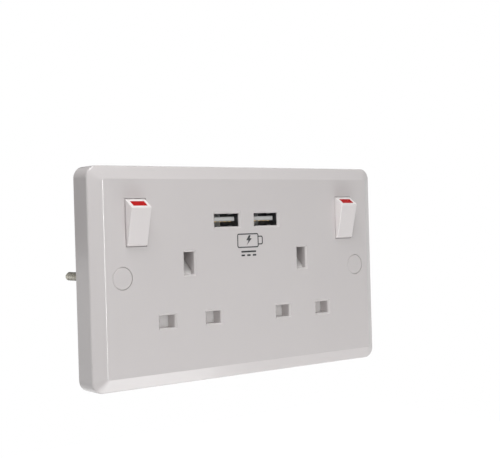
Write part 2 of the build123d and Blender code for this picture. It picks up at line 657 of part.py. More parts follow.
def make_rocking_contact(x):
    """Brass lever that rocks on the fulcrum and carries the moving contact tip."""
    with BuildPart() as contact:
        with BuildSketch(contact_plane(x)):
            with Locations((CONTACT_BACK + CONTACT_T / 2, 0)):
                Rectangle(CONTACT_T, CONTACT_L)
            Circle(EDGE_R + EDGE_GAP, mode=Mode.SUBTRACT)
        extrude(amount=CONTACT_W / 2, both=True)
        frame = contact_plane(x)
        seat = frame.from_local_coords(Vector(CONTACT_BACK, CONTACT_TIP_UP, 0))
        with BuildSketch(Plane(origin=seat, x_dir=(1, 0, 0), z_dir=-frame.x_dir)):
            Circle(TIP_R)
        extrude(amount=TIP_T)
        ends = contact.edges().filter_by(Axis.X).group_by(Axis.Z)
        fillet(ends[0] + ends[-1], CONTACT_T / 3)
    return contact.part


def fixed_tip_front():
    """Height of the fixed tip's front, just behind the moving tip's nearest edge."""
    tilt = radians(HALF_CONTACT_SWING_DEG)
    middle = FULCRUM_H + (CONTACT_BACK - TIP_T) * cos(tilt)
    return middle - (CONTACT_TIP_UP + TIP_R) * sin(tilt) - SEAT_GAP / 2


def add_pole_clip(x):
    """Two brass leaves, above and below a pin, joined by a web behind it."""
    mouth = DECK_BACK - FIT_GAP
    throat = mouth - CLIP_THROAT
    root = throat - CLIP_NECK
    wide, tight = PIN_T / 2 + CLIP_EASE, PIN_T / 2 - PINCH
    web_back = POLE_WEB_H - STRIP_T
    inner = ((web_back, wide), (root, wide), (throat, tight), (mouth, tight + MOUTH_FLARE))
    for up in (-1, 1):
        with BuildSketch(side_plane(x, 0, POLE_Z)) as leaf:
            with BuildLine():
                Polyline([(h, up * z) for h, z in inner]
                         + [(h, up * (z + LEAF_T)) for h, z in reversed(inner)], close=True)
            make_face()
        extrude(leaf.sketch, amount=CLIP_W / 2, both=True)
    slab(POLE_WEB_H, web_back, CLIP_W, 2 * (wide + LEAF_T), x, POLE_Z)


def add_earth_clip(x):
    """Two brass leaves, left and right of the earth pin, joined by the earth bar behind it."""
    mouth = DECK_BACK - FIT_GAP
    throat = mouth - EARTH_THROAT
    root = throat - EARTH_NECK
    wide, tight = EARTH_PIN_W / 2 + CLIP_EASE, EARTH_PIN_W / 2 - PINCH
    inner = ((EARTH_H - STRIP_T, wide), (root, wide), (throat, tight), (mouth, tight + MOUTH_FLARE))
    leaf_top = EARTH_Z + EARTH_PIN_H / 2 - EARTH_LEAF_TRIM
    for side in (-1, 1):
        with BuildSketch(level_plane(leaf_top, x)) as leaf:
            with BuildLine():
                Polyline([(side * w, h) for h, w in inner]
                         + [(side * (w + LEAF_T), h) for h, w in reversed(inner)], close=True)
            make_face()
        extrude(leaf.sketch, amount=EARTH_PIN_H - 2 * EARTH_LEAF_TRIM)


def add_terminal_land(x, front, start_z):
    """Drop of a strip to a terminal: down to its top, back over it and down again on its front."""
    half = STRIP_W / 2
    fold_z = TERM_TOP_Z + STRIP_T
    span(front, front - STRIP_T, x - half, x + half, min(start_z, TERM_TOP_Z), max(start_z, fold_z))
    span(front, TERM_FRONT, x - half, x + half, TERM_TOP_Z, fold_z)
    span(TERM_FRONT + STRIP_T, TERM_FRONT, x - half, x + half, TERM_MOUTH_Z + BODY_WALL, fold_z)


def make_neutral_bar():
    """Neutral strip below the outlets with a clip for each and a land for its terminal."""
    xs = [-OUTLET_X - POLE_X, OUTLET_X - POLE_X]
    back = POLE_WEB_H - STRIP_T
    with BuildPart() as bar:
        span(POLE_WEB_H, back, xs[0] - CLIP_W / 2, xs[1] + CLIP_W / 2,
             NEUTRAL_Z - STRIP_W / 2, NEUTRAL_Z + STRIP_W / 2)
        for x in xs:
            span(POLE_WEB_H, back, x - CLIP_W / 2, x + CLIP_W / 2, NEUTRAL_Z, POLE_Z)
            add_pole_clip(x)
        add_terminal_land(TERM_X["neutral"], POLE_WEB_H, NEUTRAL_Z)
    return bar.part


def make_line_bar():
    """Supply strip from the line terminal to the fulcrum of each switch."""
    back = LINE_H - STRIP_T
    half = STRIP_W / 2
    with BuildPart() as bar:
        span(LINE_H, back, -LINE_ARM_X - half, LINE_ARM_X + half, LINE_Z - half, LINE_Z + half)
        for s in SIDES.values():
            span(LINE_H, back, s * (LINE_ARM_X - half), s * (LINE_ARM_X + half),
                 LINE_Z, SWITCH_Z + half)
            x = s * SWITCH_X
            span(LINE_H, back, s * LINE_ARM_X, x + s * CONTACT_W / 2,
                 SWITCH_Z - half, SWITCH_Z + half)
            span(FULCRUM_H, back, x - CONTACT_W / 2, x + CONTACT_W / 2,
                 SWITCH_Z - EDGE_R, SWITCH_Z + EDGE_R)
            with BuildSketch(side_plane(x, FULCRUM_H, SWITCH_Z)):
                Circle(EDGE_R)
            extrude(amount=CONTACT_W / 2, both=True)
        add_terminal_land(TERM_X["line"], LINE_H, LINE_Z)
    return bar.part


def make_load_strip(side):
    """Strip from a switch's fixed tip to the line clip of the outlet beside it."""
    s = SIDES[side]
    clip_x = s * OUTLET_X + POLE_X
    drop_x = s * LOAD_DROP_X
    back = LOAD_H - STRIP_T
    half = STRIP_W / 2
    top = LOAD_TOP_Z + LOAD_TOP_W / 2
    clip_top = POLE_Z + PIN_T / 2 + CLIP_EASE
    run_low = clip_top + LOAD_LIFT
    with BuildPart() as strip:
        span(LOAD_H, back, drop_x, s * (SWITCH_X + half), top - LOAD_TOP_W, top)
        span(LOAD_H, back, drop_x - half, drop_x + half, run_low, top)
        span(LOAD_H, back, min(drop_x - half, clip_x - CLIP_W / 2),
             max(drop_x + half, clip_x + CLIP_W / 2), run_low, run_low + STRIP_W)
        span(LOAD_H, back, clip_x - CLIP_W / 2, clip_x + CLIP_W / 2, clip_top, run_low)
        add_pole_clip(clip_x)
        rod(fixed_tip_front(), LOAD_H, TIP_R, s * SWITCH_X, LOAD_TOP_Z)
    return strip.part


def make_earth_bar():
    """Earth strip behind both earth openings with a clip for each and a leg to each terminal."""
    half = STRIP_W / 2
    back = EARTH_H - STRIP_T
    with BuildPart() as bar:
        reach = OUTLET_X + EARTH_PIN_W
        span(EARTH_H, back, -reach, reach, EARTH_Z - STRIP_W, EARTH_Z + STRIP_W)
        for s in SIDES.values():
            add_earth_clip(s * OUTLET_X)
        for name in ("earth_left", "earth_right"):
            x = TERM_X[name]
            span(EARTH_H, back, x - half, x + half, TERM_TOP_Z, EARTH_Z)
            span(EARTH_H, EARTH_H - STRIP_W, x - half, x + half, TERM_TOP_Z,
                 TERM_TOP_Z + STRIP_T)
    return bar.part


def make_terminal(x):
    """Brass block with a blind hole for the wires from below and a tapped hole from behind."""
    z = TERM_MOUTH_Z + TERM_L / 2
    with BuildPart() as block:
        slab(TERM_FRONT, TERM_FRONT - TERM_D, TERM_W, TERM_L, x, z)
        chamfer(block.edges().filter_by(Axis.Y), TERM_CHAMFER)
        with BuildSketch(Plane(origin=(x, -TERM_BORE_H, TERM_MOUTH_Z), x_dir=(1, 0, 0),
                               z_dir=(0, 0, 1))):
            Circle(TERM_BORE_R)
        extrude(amount=TERM_BORE_L, mode=Mode.SUBTRACT)
        rod(TERM_BORE_H, TERM_FRONT - TERM_D, CLAMP_R + THREAD_GAP, x, z, Mode.SUBTRACT)
    return block.part


def make_clamp_screw(x):
    """Slotted clamp screw, backed off clear of the wire hole."""
    z = TERM_MOUTH_Z + TERM_L / 2
    front = TERM_BORE_H - TERM_BORE_R - 2 * RUN_GAP
    with BuildPart() as screw:
        rod(front, COVER_BACK, CLAMP_R, x, z)
        chamfer(screw.edges().filter_by(GeomType.CIRCLE).sort_by(Axis.Y)[0], CLAMP_POINT)
        slab(COVER_BACK + CLAMP_SLOT_D, COVER_BACK, 2 * CLAMP_R, CLAMP_SLOT_W, x, z,
             Mode.SUBTRACT)
    return screw.part


def make_fixing_screw(x):
    """Machine screw with a slotted round head, waisted where it passes through the plate."""
    with BuildPart() as screw:
        rod(HEAD_SEAT_H + HEAD_T, HEAD_SEAT_H, HEAD_R, x, 0)
        fillet(screw.edges().filter_by(GeomType.CIRCLE).sort_by(Axis.Y)[0], HEAD_T / 2)
        rod(HEAD_SEAT_H, 0, NECK_R, x, 0)
        rod(0, -FIX_SCREW_REACH, THREAD_R, x, 0)
        chamfer(screw.edges().filter_by(GeomType.CIRCLE).sort_by(Axis.Y)[-1], THREAD_R / 3)
        slab(HEAD_SEAT_H + HEAD_T, HEAD_SEAT_H + HEAD_T / 2, 2 * HEAD_R, HEAD_SLOT_W, x, 0,
             Mode.SUBTRACT)
    return screw.part


def make_screw_cap(x):
    """Push-in cap over a fixing screw: a thin disc with a skirt."""
    with BuildPart() as cap:
        rod(PLATE_DEPTH, PLATE_DEPTH - CAP_T - CAP_SKIRT, CAP_R, x, 0)
        chamfer(cap.edges().filter_by(GeomType.CIRCLE).sort_by(Axis.Y)[0], CAP_CHAMFER)
        rod(PLATE_DEPTH - CAP_T, PLATE_DEPTH - CAP_T - CAP_SKIRT, CAP_R - CAP_SKIRT_T, x, 0,
            Mode.SUBTRACT)
    return cap.part


def make_join_screw(x, z):
    """Long self-tapping screw that holds the cover and the base to the plate."""
    with BuildPart() as screw:
        rod(COVER_BACK, COVER_BACK - JOIN_HEAD_T, JOIN_HEAD_R, x, z)
        fillet(screw.edges().filter_by(GeomType.CIRCLE).sort_by(Axis.Y)[-1], JOIN_HEAD_T / 2)
        rod(DECK_H + JOIN_REACH, COVER_BACK, JOIN_SCREW_R, x, z)
        for width, height in ((JOIN_SLOT_W, JOIN_SLOT_L), (JOIN_SLOT_L, JOIN_SLOT_W)):
            slab(COVER_BACK - JOIN_HEAD_T / 2, COVER_BACK - JOIN_HEAD_T, width, height, x, z,
                 Mode.SUBTRACT)
    return screw.part


def make_shutter(x):
    """Sliding shutter: two flags over the line and neutral openings and a ramp behind the earth."""
    slot_bottom = EARTH_Z - EARTH_SLOT_H / 2
    toe = (FACE_BACK - SEAT_GAP - EDGE_GAP, slot_bottom + RAMP_TOE)
    crest_h = DECK_H + RUN_GAP + CREST_FLAT
    crest_z = EARTH_Z - EARTH_PIN_H / 2 + SHUTTER_TRAVEL - SHAFT_GAP
    stem_back = SHUTTER_FRONT - STEM_T
    with BuildPart() as shutter:
        with BuildSketch(side_plane(x, 0, 0)):
            with BuildLine():
                Polyline([(toe[0], toe[1] - STEM_T), toe, (crest_h, crest_z),
                          (crest_h - CREST_FLAT, crest_z), (crest_h - CREST_FLAT, slot_bottom),
                          (stem_back, slot_bottom - STEM_T), (stem_back, FLAG_TOP - STEM_LAP),
                          (SHUTTER_FRONT, FLAG_TOP - STEM_LAP),
                          (SHUTTER_FRONT, toe[1] - 2 * STEM_T)], close=True)
            make_face()
        extrude(amount=STEM_W / 2, both=True)
        span(SHUTTER_FRONT, FLAG_BACK, x - FLAG_HALF_W, x + FLAG_HALF_W, FLAG_BOTTOM, FLAG_TOP)
        pad = SHUTTER_COIL_R + SHUTTER_WIRE
        span(SHUTTER_SPRING_H + pad, SHUTTER_SPRING_H - pad, x - SPRING_PAD_W / 2,
             x + SPRING_PAD_W / 2, FLAG_BOTTOM, FLAG_BOTTOM + SPRING_PAD_T)
        corners = shutter.edges().filter_by(Axis.Y).group_by(Axis.X)
        fillet(corners[0] + corners[-1], FLAG_ROUND)
        with BuildSketch(Plane(origin=(x, -SHUTTER_SPRING_H, FLAG_BOTTOM), x_dir=(1, 0, 0),
                               z_dir=(0, 0, -1))):
            Circle(SPRING_PEG_R)
        extrude(amount=SPRING_PEG_L)
    return shutter.part


def make_shutter_spring(x):
    """Return spring between the base's shelf and the shutter."""
    plane = Plane(origin=(x, -SHUTTER_SPRING_H, SHELF_TOP), x_dir=(1, 0, 0), z_dir=(0, 0, 1))
    return make_coil(plane, SHUTTER_SPRING_L, SHUTTER_COIL_R, SHUTTER_WIRE, SHUTTER_COIL_TURNS)


def make_port_shell(x):
    """Folded steel shell of a charging port, with two spring tabs in each long wall."""
    wall = SHELL_OUT_H / 2 - SHELL_T
    with BuildPart() as shell:
        slab(SHELL_FRONT, BOARD_FRONT, SHELL_OUT_W, SHELL_OUT_H, x, PORT_Z)
        fillet(shell.edges().filter_by(Axis.Y), 2 * SHELL_T)
        slab(SHELL_FRONT, BOARD_FRONT, SHELL_OUT_W - 2 * SHELL_T, SHELL_OUT_H - 2 * SHELL_T, x,
             PORT_Z, Mode.SUBTRACT)
        for tab_x in (x - TAB_X, x + TAB_X):
            with BuildSketch(side_plane(tab_x, SHELL_FRONT - SHELL_T, PORT_Z)):
                for up in (-1, 1):
                    with BuildLine():
                        Polyline([(0, up * (wall + SHELL_T / 2)), (-TAB_L / 3, up * (wall - TAB_RISE)),
                                  (-TAB_L, up * (wall + SHELL_T / 2))], close=True)
                    make_face()
            extrude(amount=TAB_W / 2, both=True)
    return shell.part


def make_port_core(x):
    """Moulded core of a charging port: a block at the back and a tongue."""
    gap = SHELL_T + EDGE_GAP
    block_front = BOARD_FRONT + CORE_BLOCK_T
    with BuildPart() as core:
        slab(block_front, BOARD_FRONT, SHELL_OUT_W - 2 * gap, SHELL_OUT_H - 2 * gap, x, PORT_Z)
        slab(PLATE_DEPTH - TONGUE_SINK, block_front, TONGUE_W, TONGUE_T, x, PORT_Z + TONGUE_UP)
        chamfer(core.faces().sort_by(Axis.Y)[0].edges(), TONGUE_T / 5)
    return core.part


def make_port_leads(x):
    """Flat spring leads on the lower face of a tongue."""
    top = PORT_Z + TONGUE_UP - TONGUE_T / 2
    with BuildPart() as leads:
        for i in range(PORT_LEADS):
            lead_x = x + (i - (PORT_LEADS - 1) / 2) * LEAD_PITCH
            span(PLATE_DEPTH - TONGUE_SINK - LEAD_SETBACK, BOARD_FRONT + CORE_BLOCK_T,
                 lead_x - LEAD_W / 2, lead_x + LEAD_W / 2, top - LEAD_T, top)
    return leads.part


def make_board():
    """Circuit board of the charger."""
    with BuildPart() as board:
        span(BOARD_FRONT, BOARD_BACK, -BOARD_W / 2, BOARD_W / 2, BOARD_LOW, BOARD_HIGH)
        for s in SIDES.values():
            rod(BOARD_FRONT, BOARD_BACK, BOARD_SCREW_R + THREAD_GAP, s * STANDOFF_X, STANDOFF_Z,
                Mode.SUBTRACT)
    return board.part


def make_board_screws():
    """Two small slotted screws that hold the board to its standoffs."""
    with BuildPart() as screws:
        for s in SIDES.values():
            x = s * STANDOFF_X
            rod(BOARD_BACK, BOARD_BACK - BOARD_HEAD_T, BOARD_HEAD_R, x, STANDOFF_Z)
            rod(BOARD_BACK + BOARD_SCREW_L, BOARD_BACK, BOARD_SCREW_R, x, STANDOFF_Z)
            slab(BOARD_BACK - BOARD_HEAD_T / 2, BOARD_BACK - BOARD_HEAD_T, 2 * BOARD_HEAD_R,
                 JOIN_SLOT_W / 2, x, STANDOFF_Z, Mode.SUBTRACT)
    return screws.part


def make_transformer_core():
    """Ferrite core: two outer limbs and a middle limb joined at both ends."""
    front = BOARD_BACK - COIL_T
    with BuildPart() as core:
        slab(front, front - CORE_D, CORE_W, CORE_H, 0, CORE_Z)
        for s in SIDES.values():
            window_w = (CORE_W - 3 * CORE_LIMB) / 2
            x = s * (CORE_LIMB + window_w) / 2
            slab(front, front - CORE_D, window_w, CORE_H - 2 * CORE_LIMB, x, CORE_Z,
                 Mode.SUBTRACT)
    return core.part


def make_transformer_coil():
    """Taped winding round the core's middle limb."""
    outer_w = CORE_W - 2 * CORE_LIMB - 2 * COIL_GAP
    outer_h = CORE_H - 2 * CORE_LIMB - 2 * COIL_GAP
    hole_front = BOARD_BACK - COIL_T + COIL_GAP
    hole_back = BOARD_BACK - COIL_T - CORE_D - COIL_GAP
    with BuildPart() as coil:
        slab(BOARD_BACK, BOARD_BACK - CORE_D - 2 * COIL_T, outer_w, outer_h, 0, CORE_Z)
        fillet(coil.edges().filter_by(Axis.Z), COIL_T)
        slab(hole_front, hole_back, CORE_LIMB + 2 * COIL_GAP, outer_h, 0, CORE_Z,
             Mode.SUBTRACT)
    return coil.part


def make_cans(spots, radius, length):
    """Round capacitors standing on the board."""
    with BuildPart() as cans:
        for x, z in spots:
            rod(BOARD_BACK, BOARD_BACK - length, radius, x, z)
        fillet(cans.edges().filter_by(GeomType.CIRCLE), radius / 8)
    return cans.part


def make_chip(x, z, width, height, depth):
    """Small moulded component on the board."""
    with BuildPart() as chip:
        slab(BOARD_BACK, BOARD_BACK - depth, width, height, x, z)
        chamfer(chip.faces().sort_by(Axis.Y)[-1].edges(), depth / 6)
    return chip.part


pieces = {
    "front_plate": make_front_plate(),
    "base": make_base(),
    "rear_cover": make_rear_cover(),
    "neutral_bar": make_neutral_bar(),
    "line_bar": make_line_bar(),
    "earth_bar": make_earth_bar(),
    "circuit_board": make_board(),
    "board_screws": make_board_screws(),
    "transformer_core": make_transformer_core(),
    "transformer_coil": make_transformer_coil(),
    "input_capacitor": make_cans([(BIG_CAN_X, BIG_CAN_Z)], BIG_CAN_R, BIG_CAN_L),
    "output_capacitors": make_cans(SMALL_CAN_SPOTS, SMALL_CAN_R, SMALL_CAN_L),
    "control_chip": make_chip(CHIP_X, CHIP_Z, CHIP_W, CHIP_H, CHIP_D),
    "filter_block": make_chip(BLOCK_X, BLOCK_Z, BLOCK_W, BLOCK_H, BLOCK_D),
}
for side, s in SIDES.items():
    pieces[f"rocker_{side}"] = make_rocker(s * SWITCH_X)
    pieces[f"rocker_window_{side}"] = make_window(s * SWITCH_X)
    pieces[f"rocker_spring_{side}"] = make_rocker_spring(s * SWITCH_X)
    pieces[f"plunger_{side}"] = make_plunger(s * SWITCH_X)
    pieces[f"rocking_contact_{side}"] = make_rocking_contact(s * SWITCH_X)
    pieces[f"load_strip_{side}"] = make_load_strip(side)
    pieces[f"shutter_{side}"] = make_shutter(s * OUTLET_X)
    pieces[f"shutter_spring_{side}"] = make_shutter_spring(s * OUTLET_X)
    pieces[f"port_shell_{side}"] = make_port_shell(s * PORT_X)
    pieces[f"port_core_{side}"] = make_port_core(s * PORT_X)
    pieces[f"port_leads_{side}"] = make_port_leads(s * PORT_X)
    pieces[f"fixing_screw_{side}"] = make_fixing_screw(s * FIX_X)
    pieces[f"screw_cap_{side}"] = make_screw_cap(s * FIX_X)
for name, x in TERM_X.items():
    pieces[f"terminal_{name}"] = make_terminal(x)
    pieces[f"clamp_screw_{name}"] = make_clamp_screw(x)
for number, (x, z) in enumerate(POST_SPOTS, start=1):
    pieces[f"assembly_screw_{number}"] = make_join_screw(x, z)

for name, piece in pieces.items():
    piece.label = name
    export_step(piece, f"parts/{name}.step")
    print(f"{name}: {len(piece.solids())} solid(s), {piece.volume:.1f} mm3")
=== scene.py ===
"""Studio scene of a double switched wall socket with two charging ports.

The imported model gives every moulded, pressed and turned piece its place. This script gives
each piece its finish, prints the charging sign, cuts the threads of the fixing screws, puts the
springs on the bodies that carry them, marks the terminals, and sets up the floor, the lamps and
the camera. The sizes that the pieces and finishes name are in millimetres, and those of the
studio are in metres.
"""

import json
import logging
import math
from dataclasses import dataclass, field
from enum import Enum
from typing import Callable, Iterable, Optional

import bpy
from mathutils import Matrix, Vector


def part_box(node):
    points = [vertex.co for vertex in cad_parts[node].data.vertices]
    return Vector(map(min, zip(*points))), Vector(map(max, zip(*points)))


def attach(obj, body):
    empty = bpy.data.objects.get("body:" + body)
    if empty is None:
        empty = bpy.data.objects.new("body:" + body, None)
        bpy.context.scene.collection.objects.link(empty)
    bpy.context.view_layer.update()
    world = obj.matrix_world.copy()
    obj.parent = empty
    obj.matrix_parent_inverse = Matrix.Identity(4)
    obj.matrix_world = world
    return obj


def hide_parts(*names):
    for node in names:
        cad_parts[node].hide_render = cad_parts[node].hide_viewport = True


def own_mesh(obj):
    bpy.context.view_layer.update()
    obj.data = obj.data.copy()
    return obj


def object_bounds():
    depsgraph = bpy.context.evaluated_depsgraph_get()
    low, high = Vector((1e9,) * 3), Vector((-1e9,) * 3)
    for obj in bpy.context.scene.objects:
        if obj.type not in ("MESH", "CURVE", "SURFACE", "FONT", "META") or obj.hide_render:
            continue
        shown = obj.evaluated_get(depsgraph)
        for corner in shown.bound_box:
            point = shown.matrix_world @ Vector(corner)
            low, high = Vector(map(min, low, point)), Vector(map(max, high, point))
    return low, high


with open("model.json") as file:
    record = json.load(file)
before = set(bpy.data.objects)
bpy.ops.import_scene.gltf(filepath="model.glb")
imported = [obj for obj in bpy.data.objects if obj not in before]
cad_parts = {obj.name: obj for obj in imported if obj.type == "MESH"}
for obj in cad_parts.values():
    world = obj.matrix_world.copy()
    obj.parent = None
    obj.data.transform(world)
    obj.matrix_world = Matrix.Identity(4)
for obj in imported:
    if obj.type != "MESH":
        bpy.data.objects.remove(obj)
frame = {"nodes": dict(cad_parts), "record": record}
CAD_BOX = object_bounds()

log = logging.getLogger("wall_socket")

MM = 0.001

Colour = tuple[float, float, float]
Stretch = tuple[float, float, float]


class Side(Enum):
    """The two ends of the plate, by the word that ends the names of their pieces."""

    LEFT = "left"
    RIGHT = "right"


class Grain(Enum):
    """Direction of the fine lines in a rolled or drawn metal, as a stretch of its noise."""

    ALONG_X = (0.04, 1.0, 1.0)
    ALONG_Y = (1.0, 0.04, 1.0)
    ALONG_Z = (1.0, 1.0, 0.04)


class ShaderBench:
    """Adds and links the nodes of one material that is read from Object coordinates."""

    def __init__(self, name: str) -> None:
        """Start a material.

        Args:
            name: Name of the new material.
        """
        self.material = bpy.data.materials.new(name)
        self.material.use_nodes = True
        self.nodes = self.material.node_tree.nodes
        self.links = self.material.node_tree.links
        self.shader = self.nodes["Principled BSDF"]
        self.place = self.nodes.new("ShaderNodeTexCoord").outputs["Object"]

    def set(self, socket: str, value: float | tuple[float, ...]) -> None:
        """Set a value that is the same all over the surface on the shader's own socket."""
        self.shader.inputs[socket].default_value = value

    def feed(self, socket: str, source: bpy.types.NodeSocket) -> None:
        """Link a source to one of the shader's sockets."""
        self.links.new(source, self.shader.inputs[socket])

    def stretched(self, stretch: Stretch) -> bpy.types.NodeSocket:
        """Object coordinates scaled by axis."""
        node = self.nodes.new("ShaderNodeMapping")
        node.inputs["Scale"].default_value = stretch
        self.links.new(self.place, node.inputs["Vector"])
        return node.outputs["Vector"]

    def noise(
        self,
        size: float,
        detail: float = 2.0,
        roughness: float = 0.5,
        stretch: Optional[Stretch] = None,
    ) -> bpy.types.NodeSocket:
        """Soft noise.

        Args:
            size: Rough size of one patch, in millimetres.
            detail: Number of finer layers.
            roughness: Weight of the finer layers.
            stretch: Scale by axis, for streaks.

        Returns:
            The noise value, from 0 to 1.
        """
        node = self.nodes.new("ShaderNodeTexNoise")
        node.inputs["Scale"].default_value = 1 / (size * MM)
        node.inputs["Detail"].default_value = detail
        node.inputs["Roughness"].default_value = roughness
        source = self.stretched(stretch) if stretch else self.place
        self.links.new(source, node.inputs["Vector"])
        return node.outputs["Fac"]

    def reach(self) -> bpy.types.NodeSocket:
        """Distance from the origin, in metres."""
        node = self.nodes.new("ShaderNodeVectorMath")
        node.operation = "LENGTH"
        self.links.new(self.place, node.inputs[0])
        return node.outputs["Value"]

    def cells(self, size: float) -> bpy.types.NodeSocket:
        """Distance to the nearest of many scattered points, one every so many millimetres."""
        node = self.nodes.new("ShaderNodeTexVoronoi")
        node.inputs["Scale"].default_value = 1 / (size * MM)
        self.links.new(self.place, node.inputs["Vector"])
        return node.outputs["Distance"]

    def rings(self, pitch: float, axis: str) -> bpy.types.NodeSocket:
        """Fine even bands.

        Args:
            pitch: Distance from band to band, in millimetres.
            axis: Axis that the bands follow one another along: X, Y or Z.

        Returns:
            The band value, from 0 to 1.
        """
        node = self.nodes.new("ShaderNodeTexWave")
        node.bands_direction = axis
        node.inputs["Scale"].default_value = math.pi / (10 * pitch * MM)
        self.links.new(self.place, node.inputs["Vector"])
        return node.outputs["Fac"]

    def between(
        self,
        source: bpy.types.NodeSocket,
        low: float,
        high: float,
        start: float = 0.3,
        end: float = 0.7,
    ) -> bpy.types.NodeSocket:
        """Map the part of a value from start to end to a range.

        Args:
            source: The value.
            low: Result at the start.
            high: Result at the end.
            start: Value at which the range starts.
            end: Value at which the range ends.

        Returns:
            The mapped value.
        """
        node = self.nodes.new("ShaderNodeMapRange")
        node.inputs["From Min"].default_value = start
        node.inputs["From Max"].default_value = end
        node.inputs["To Min"].default_value = low
        node.inputs["To Max"].default_value = high
        self.links.new(source, node.inputs["Value"])
        return node.outputs["Result"]

    def tint(
        self,
        source: bpy.types.NodeSocket,
        first: Colour,
        second: Colour,
        start: float = 0.3,
        end: float = 0.7,
    ) -> bpy.types.NodeSocket:
        """Blend from one colour to another as a value rises.

        Args:
            source: The value.
            first: Colour up to the start.
            second: Colour from the end on.
            start: Value at which the blend starts.
            end: Value at which the blend ends.

        Returns:
            The blended colour.
        """
        node = self.nodes.new("ShaderNodeValToRGB")
        stops = ((start, first), (end, second))
        for element, (position, colour) in zip(node.color_ramp.elements, stops):
            element.position = position
            element.color = (*colour, 1.0)
        self.links.new(source, node.inputs["Fac"])
        return node.outputs["Color"]

    def bump(
        self,
        source: bpy.types.NodeSocket,
        depth: float,
        under: Optional[bpy.types.NodeSocket] = None,
    ) -> bpy.types.NodeSocket:
        """Relief from a value.

        Args:
            source: Height, from 0 to 1.
            depth: Height of 1, in millimetres.
            under: Normal of a coarser relief below this one.

        Returns:
            The new normal.
        """
        node = self.nodes.new("ShaderNodeBump")
        node.inputs["Strength"].default_value = 1.0
        node.inputs["Distance"].default_value = depth * MM
        self.links.new(source, node.inputs["Height"])
        if under is not None:
            self.links.new(under, node.inputs["Normal"])
        return node.outputs["Normal"]


def looked_at(tree: bpy.types.NodeTree) -> bpy.types.NodeSocket:
    """Tell the rays that look at a surface from those that only carry light.

    Args:
        tree: Node tree of the material or world that asks.

    Returns:
        1 for a camera, glossy or transmission ray, and 0 for any other.
    """
    path = tree.nodes.new("ShaderNodeLightPath")
    seen = path.outputs["Is Camera Ray"]
    for ray in ("Is Glossy Ray", "Is Transmission Ray"):
        either = tree.nodes.new("ShaderNodeMath")
        either.operation = "MAXIMUM"
        tree.links.new(seen, either.inputs[0])
        tree.links.new(path.outputs[ray], either.inputs[1])
        seen = either.outputs["Value"]
    return seen


def shade(colour: Colour, factor: float) -> Colour:
    """The colour made lighter or darker by a factor, within the limits of a surface colour."""
    return tuple(min(c * factor, 0.95) for c in colour)


@dataclass(frozen=True)
class Moulding:
    """Moulded plastic with faint flow marks, uneven gloss and a fine skin."""

    name: str
    colour: Colour
    gloss: float = 0.3
    gloss_spread: tuple[float, float] = (-0.015, 0.025)
    mottle: float = 0.006
    flow: float = 14.0
    wipe_share: float = 0.4
    skin: float = 0.9
    skin_depth: float = 0.0004
    grain: float = 0.16
    grain_depth: float = 0.0003
    coat: float = 0.0
    coat_gloss: float = 0.08

    def material(self) -> bpy.types.Material:
        """Make the material of this finish."""
        bench = ShaderBench(self.name)
        flow = bench.noise(self.flow, detail=3.0)
        darker, lighter = shade(self.colour, 1 - self.mottle), shade(self.colour, 1 + self.mottle)
        bench.feed("Base Color", bench.tint(flow, darker, lighter))
        wipe = bench.noise(self.flow * self.wipe_share, detail=3.0)
        low, high = (self.gloss + spread for spread in self.gloss_spread)
        bench.feed("Roughness", bench.between(wipe, low, high))
        skin = bench.bump(bench.noise(self.skin, detail=1.0), self.skin_depth)
        grain = bench.noise(self.grain, detail=2.0)
        bench.feed("Normal", bench.bump(grain, self.grain_depth, skin))
        bench.set("IOR", 1.5)
        bench.set("Coat Weight", self.coat)
        bench.set("Coat Roughness", self.coat_gloss)
        return bench.material


@dataclass(frozen=True)
class TintedInsert:
    """Tinted clear insert that lets a little light into its body."""

    name: str
    colour: Colour
    deep: Colour
    gloss: float = 0.16
    shine: float = 0.08
    glow: float = 0.12
    glow_depth: float = 0.4

    def material(self) -> bpy.types.Material:
        """Make the material of this finish."""
        bench = ShaderBench(self.name)
        cloud = bench.noise(2.4, detail=2.0)
        bench.feed("Base Color", bench.tint(cloud, self.deep, self.colour))
        bench.feed("Roughness", bench.between(bench.noise(0.9), self.gloss, self.gloss + 0.06))
        bench.feed("Normal", bench.bump(bench.noise(0.4, detail=1.0), 0.0008))
        bench.set("Subsurface Weight", self.glow)
        bench.set("Subsurface Radius", (1.0, 0.1, 0.1))
        bench.set("Subsurface Scale", self.glow_depth * MM)
        bench.set("Specular IOR Level", self.shine)
        return bench.material


@dataclass(frozen=True)
class RolledMetal:
    """Pressed or drawn metal with fine lines, a little tarnish and softened brightness."""

    name: str
    colour: Colour
    tarnish: Colour
    lines: Grain = Grain.ALONG_X
    gloss: float = 0.3
    line: float = 0.09
    line_depth: float = 0.0012
    patch: float = 3.5

    def material(self) -> bpy.types.Material:
        """Make the material of this finish."""
        bench = ShaderBench(self.name)
        patches = bench.noise(self.patch, detail=5.0, roughness=0.65)
        bench.feed("Base Color", bench.tint(patches, self.tarnish, self.colour, 0.35, 0.6))
        lines = bench.noise(self.line, detail=2.0, stretch=self.lines.value)
        wear = bench.noise(self.patch / 3, detail=3.0)
        bench.feed("Roughness", bench.between(wear, self.gloss - 0.06, self.gloss + 0.12))
        bench.feed("Normal", bench.bump(lines, self.line_depth))
        bench.set("Metallic", 1.0)
        return bench.material


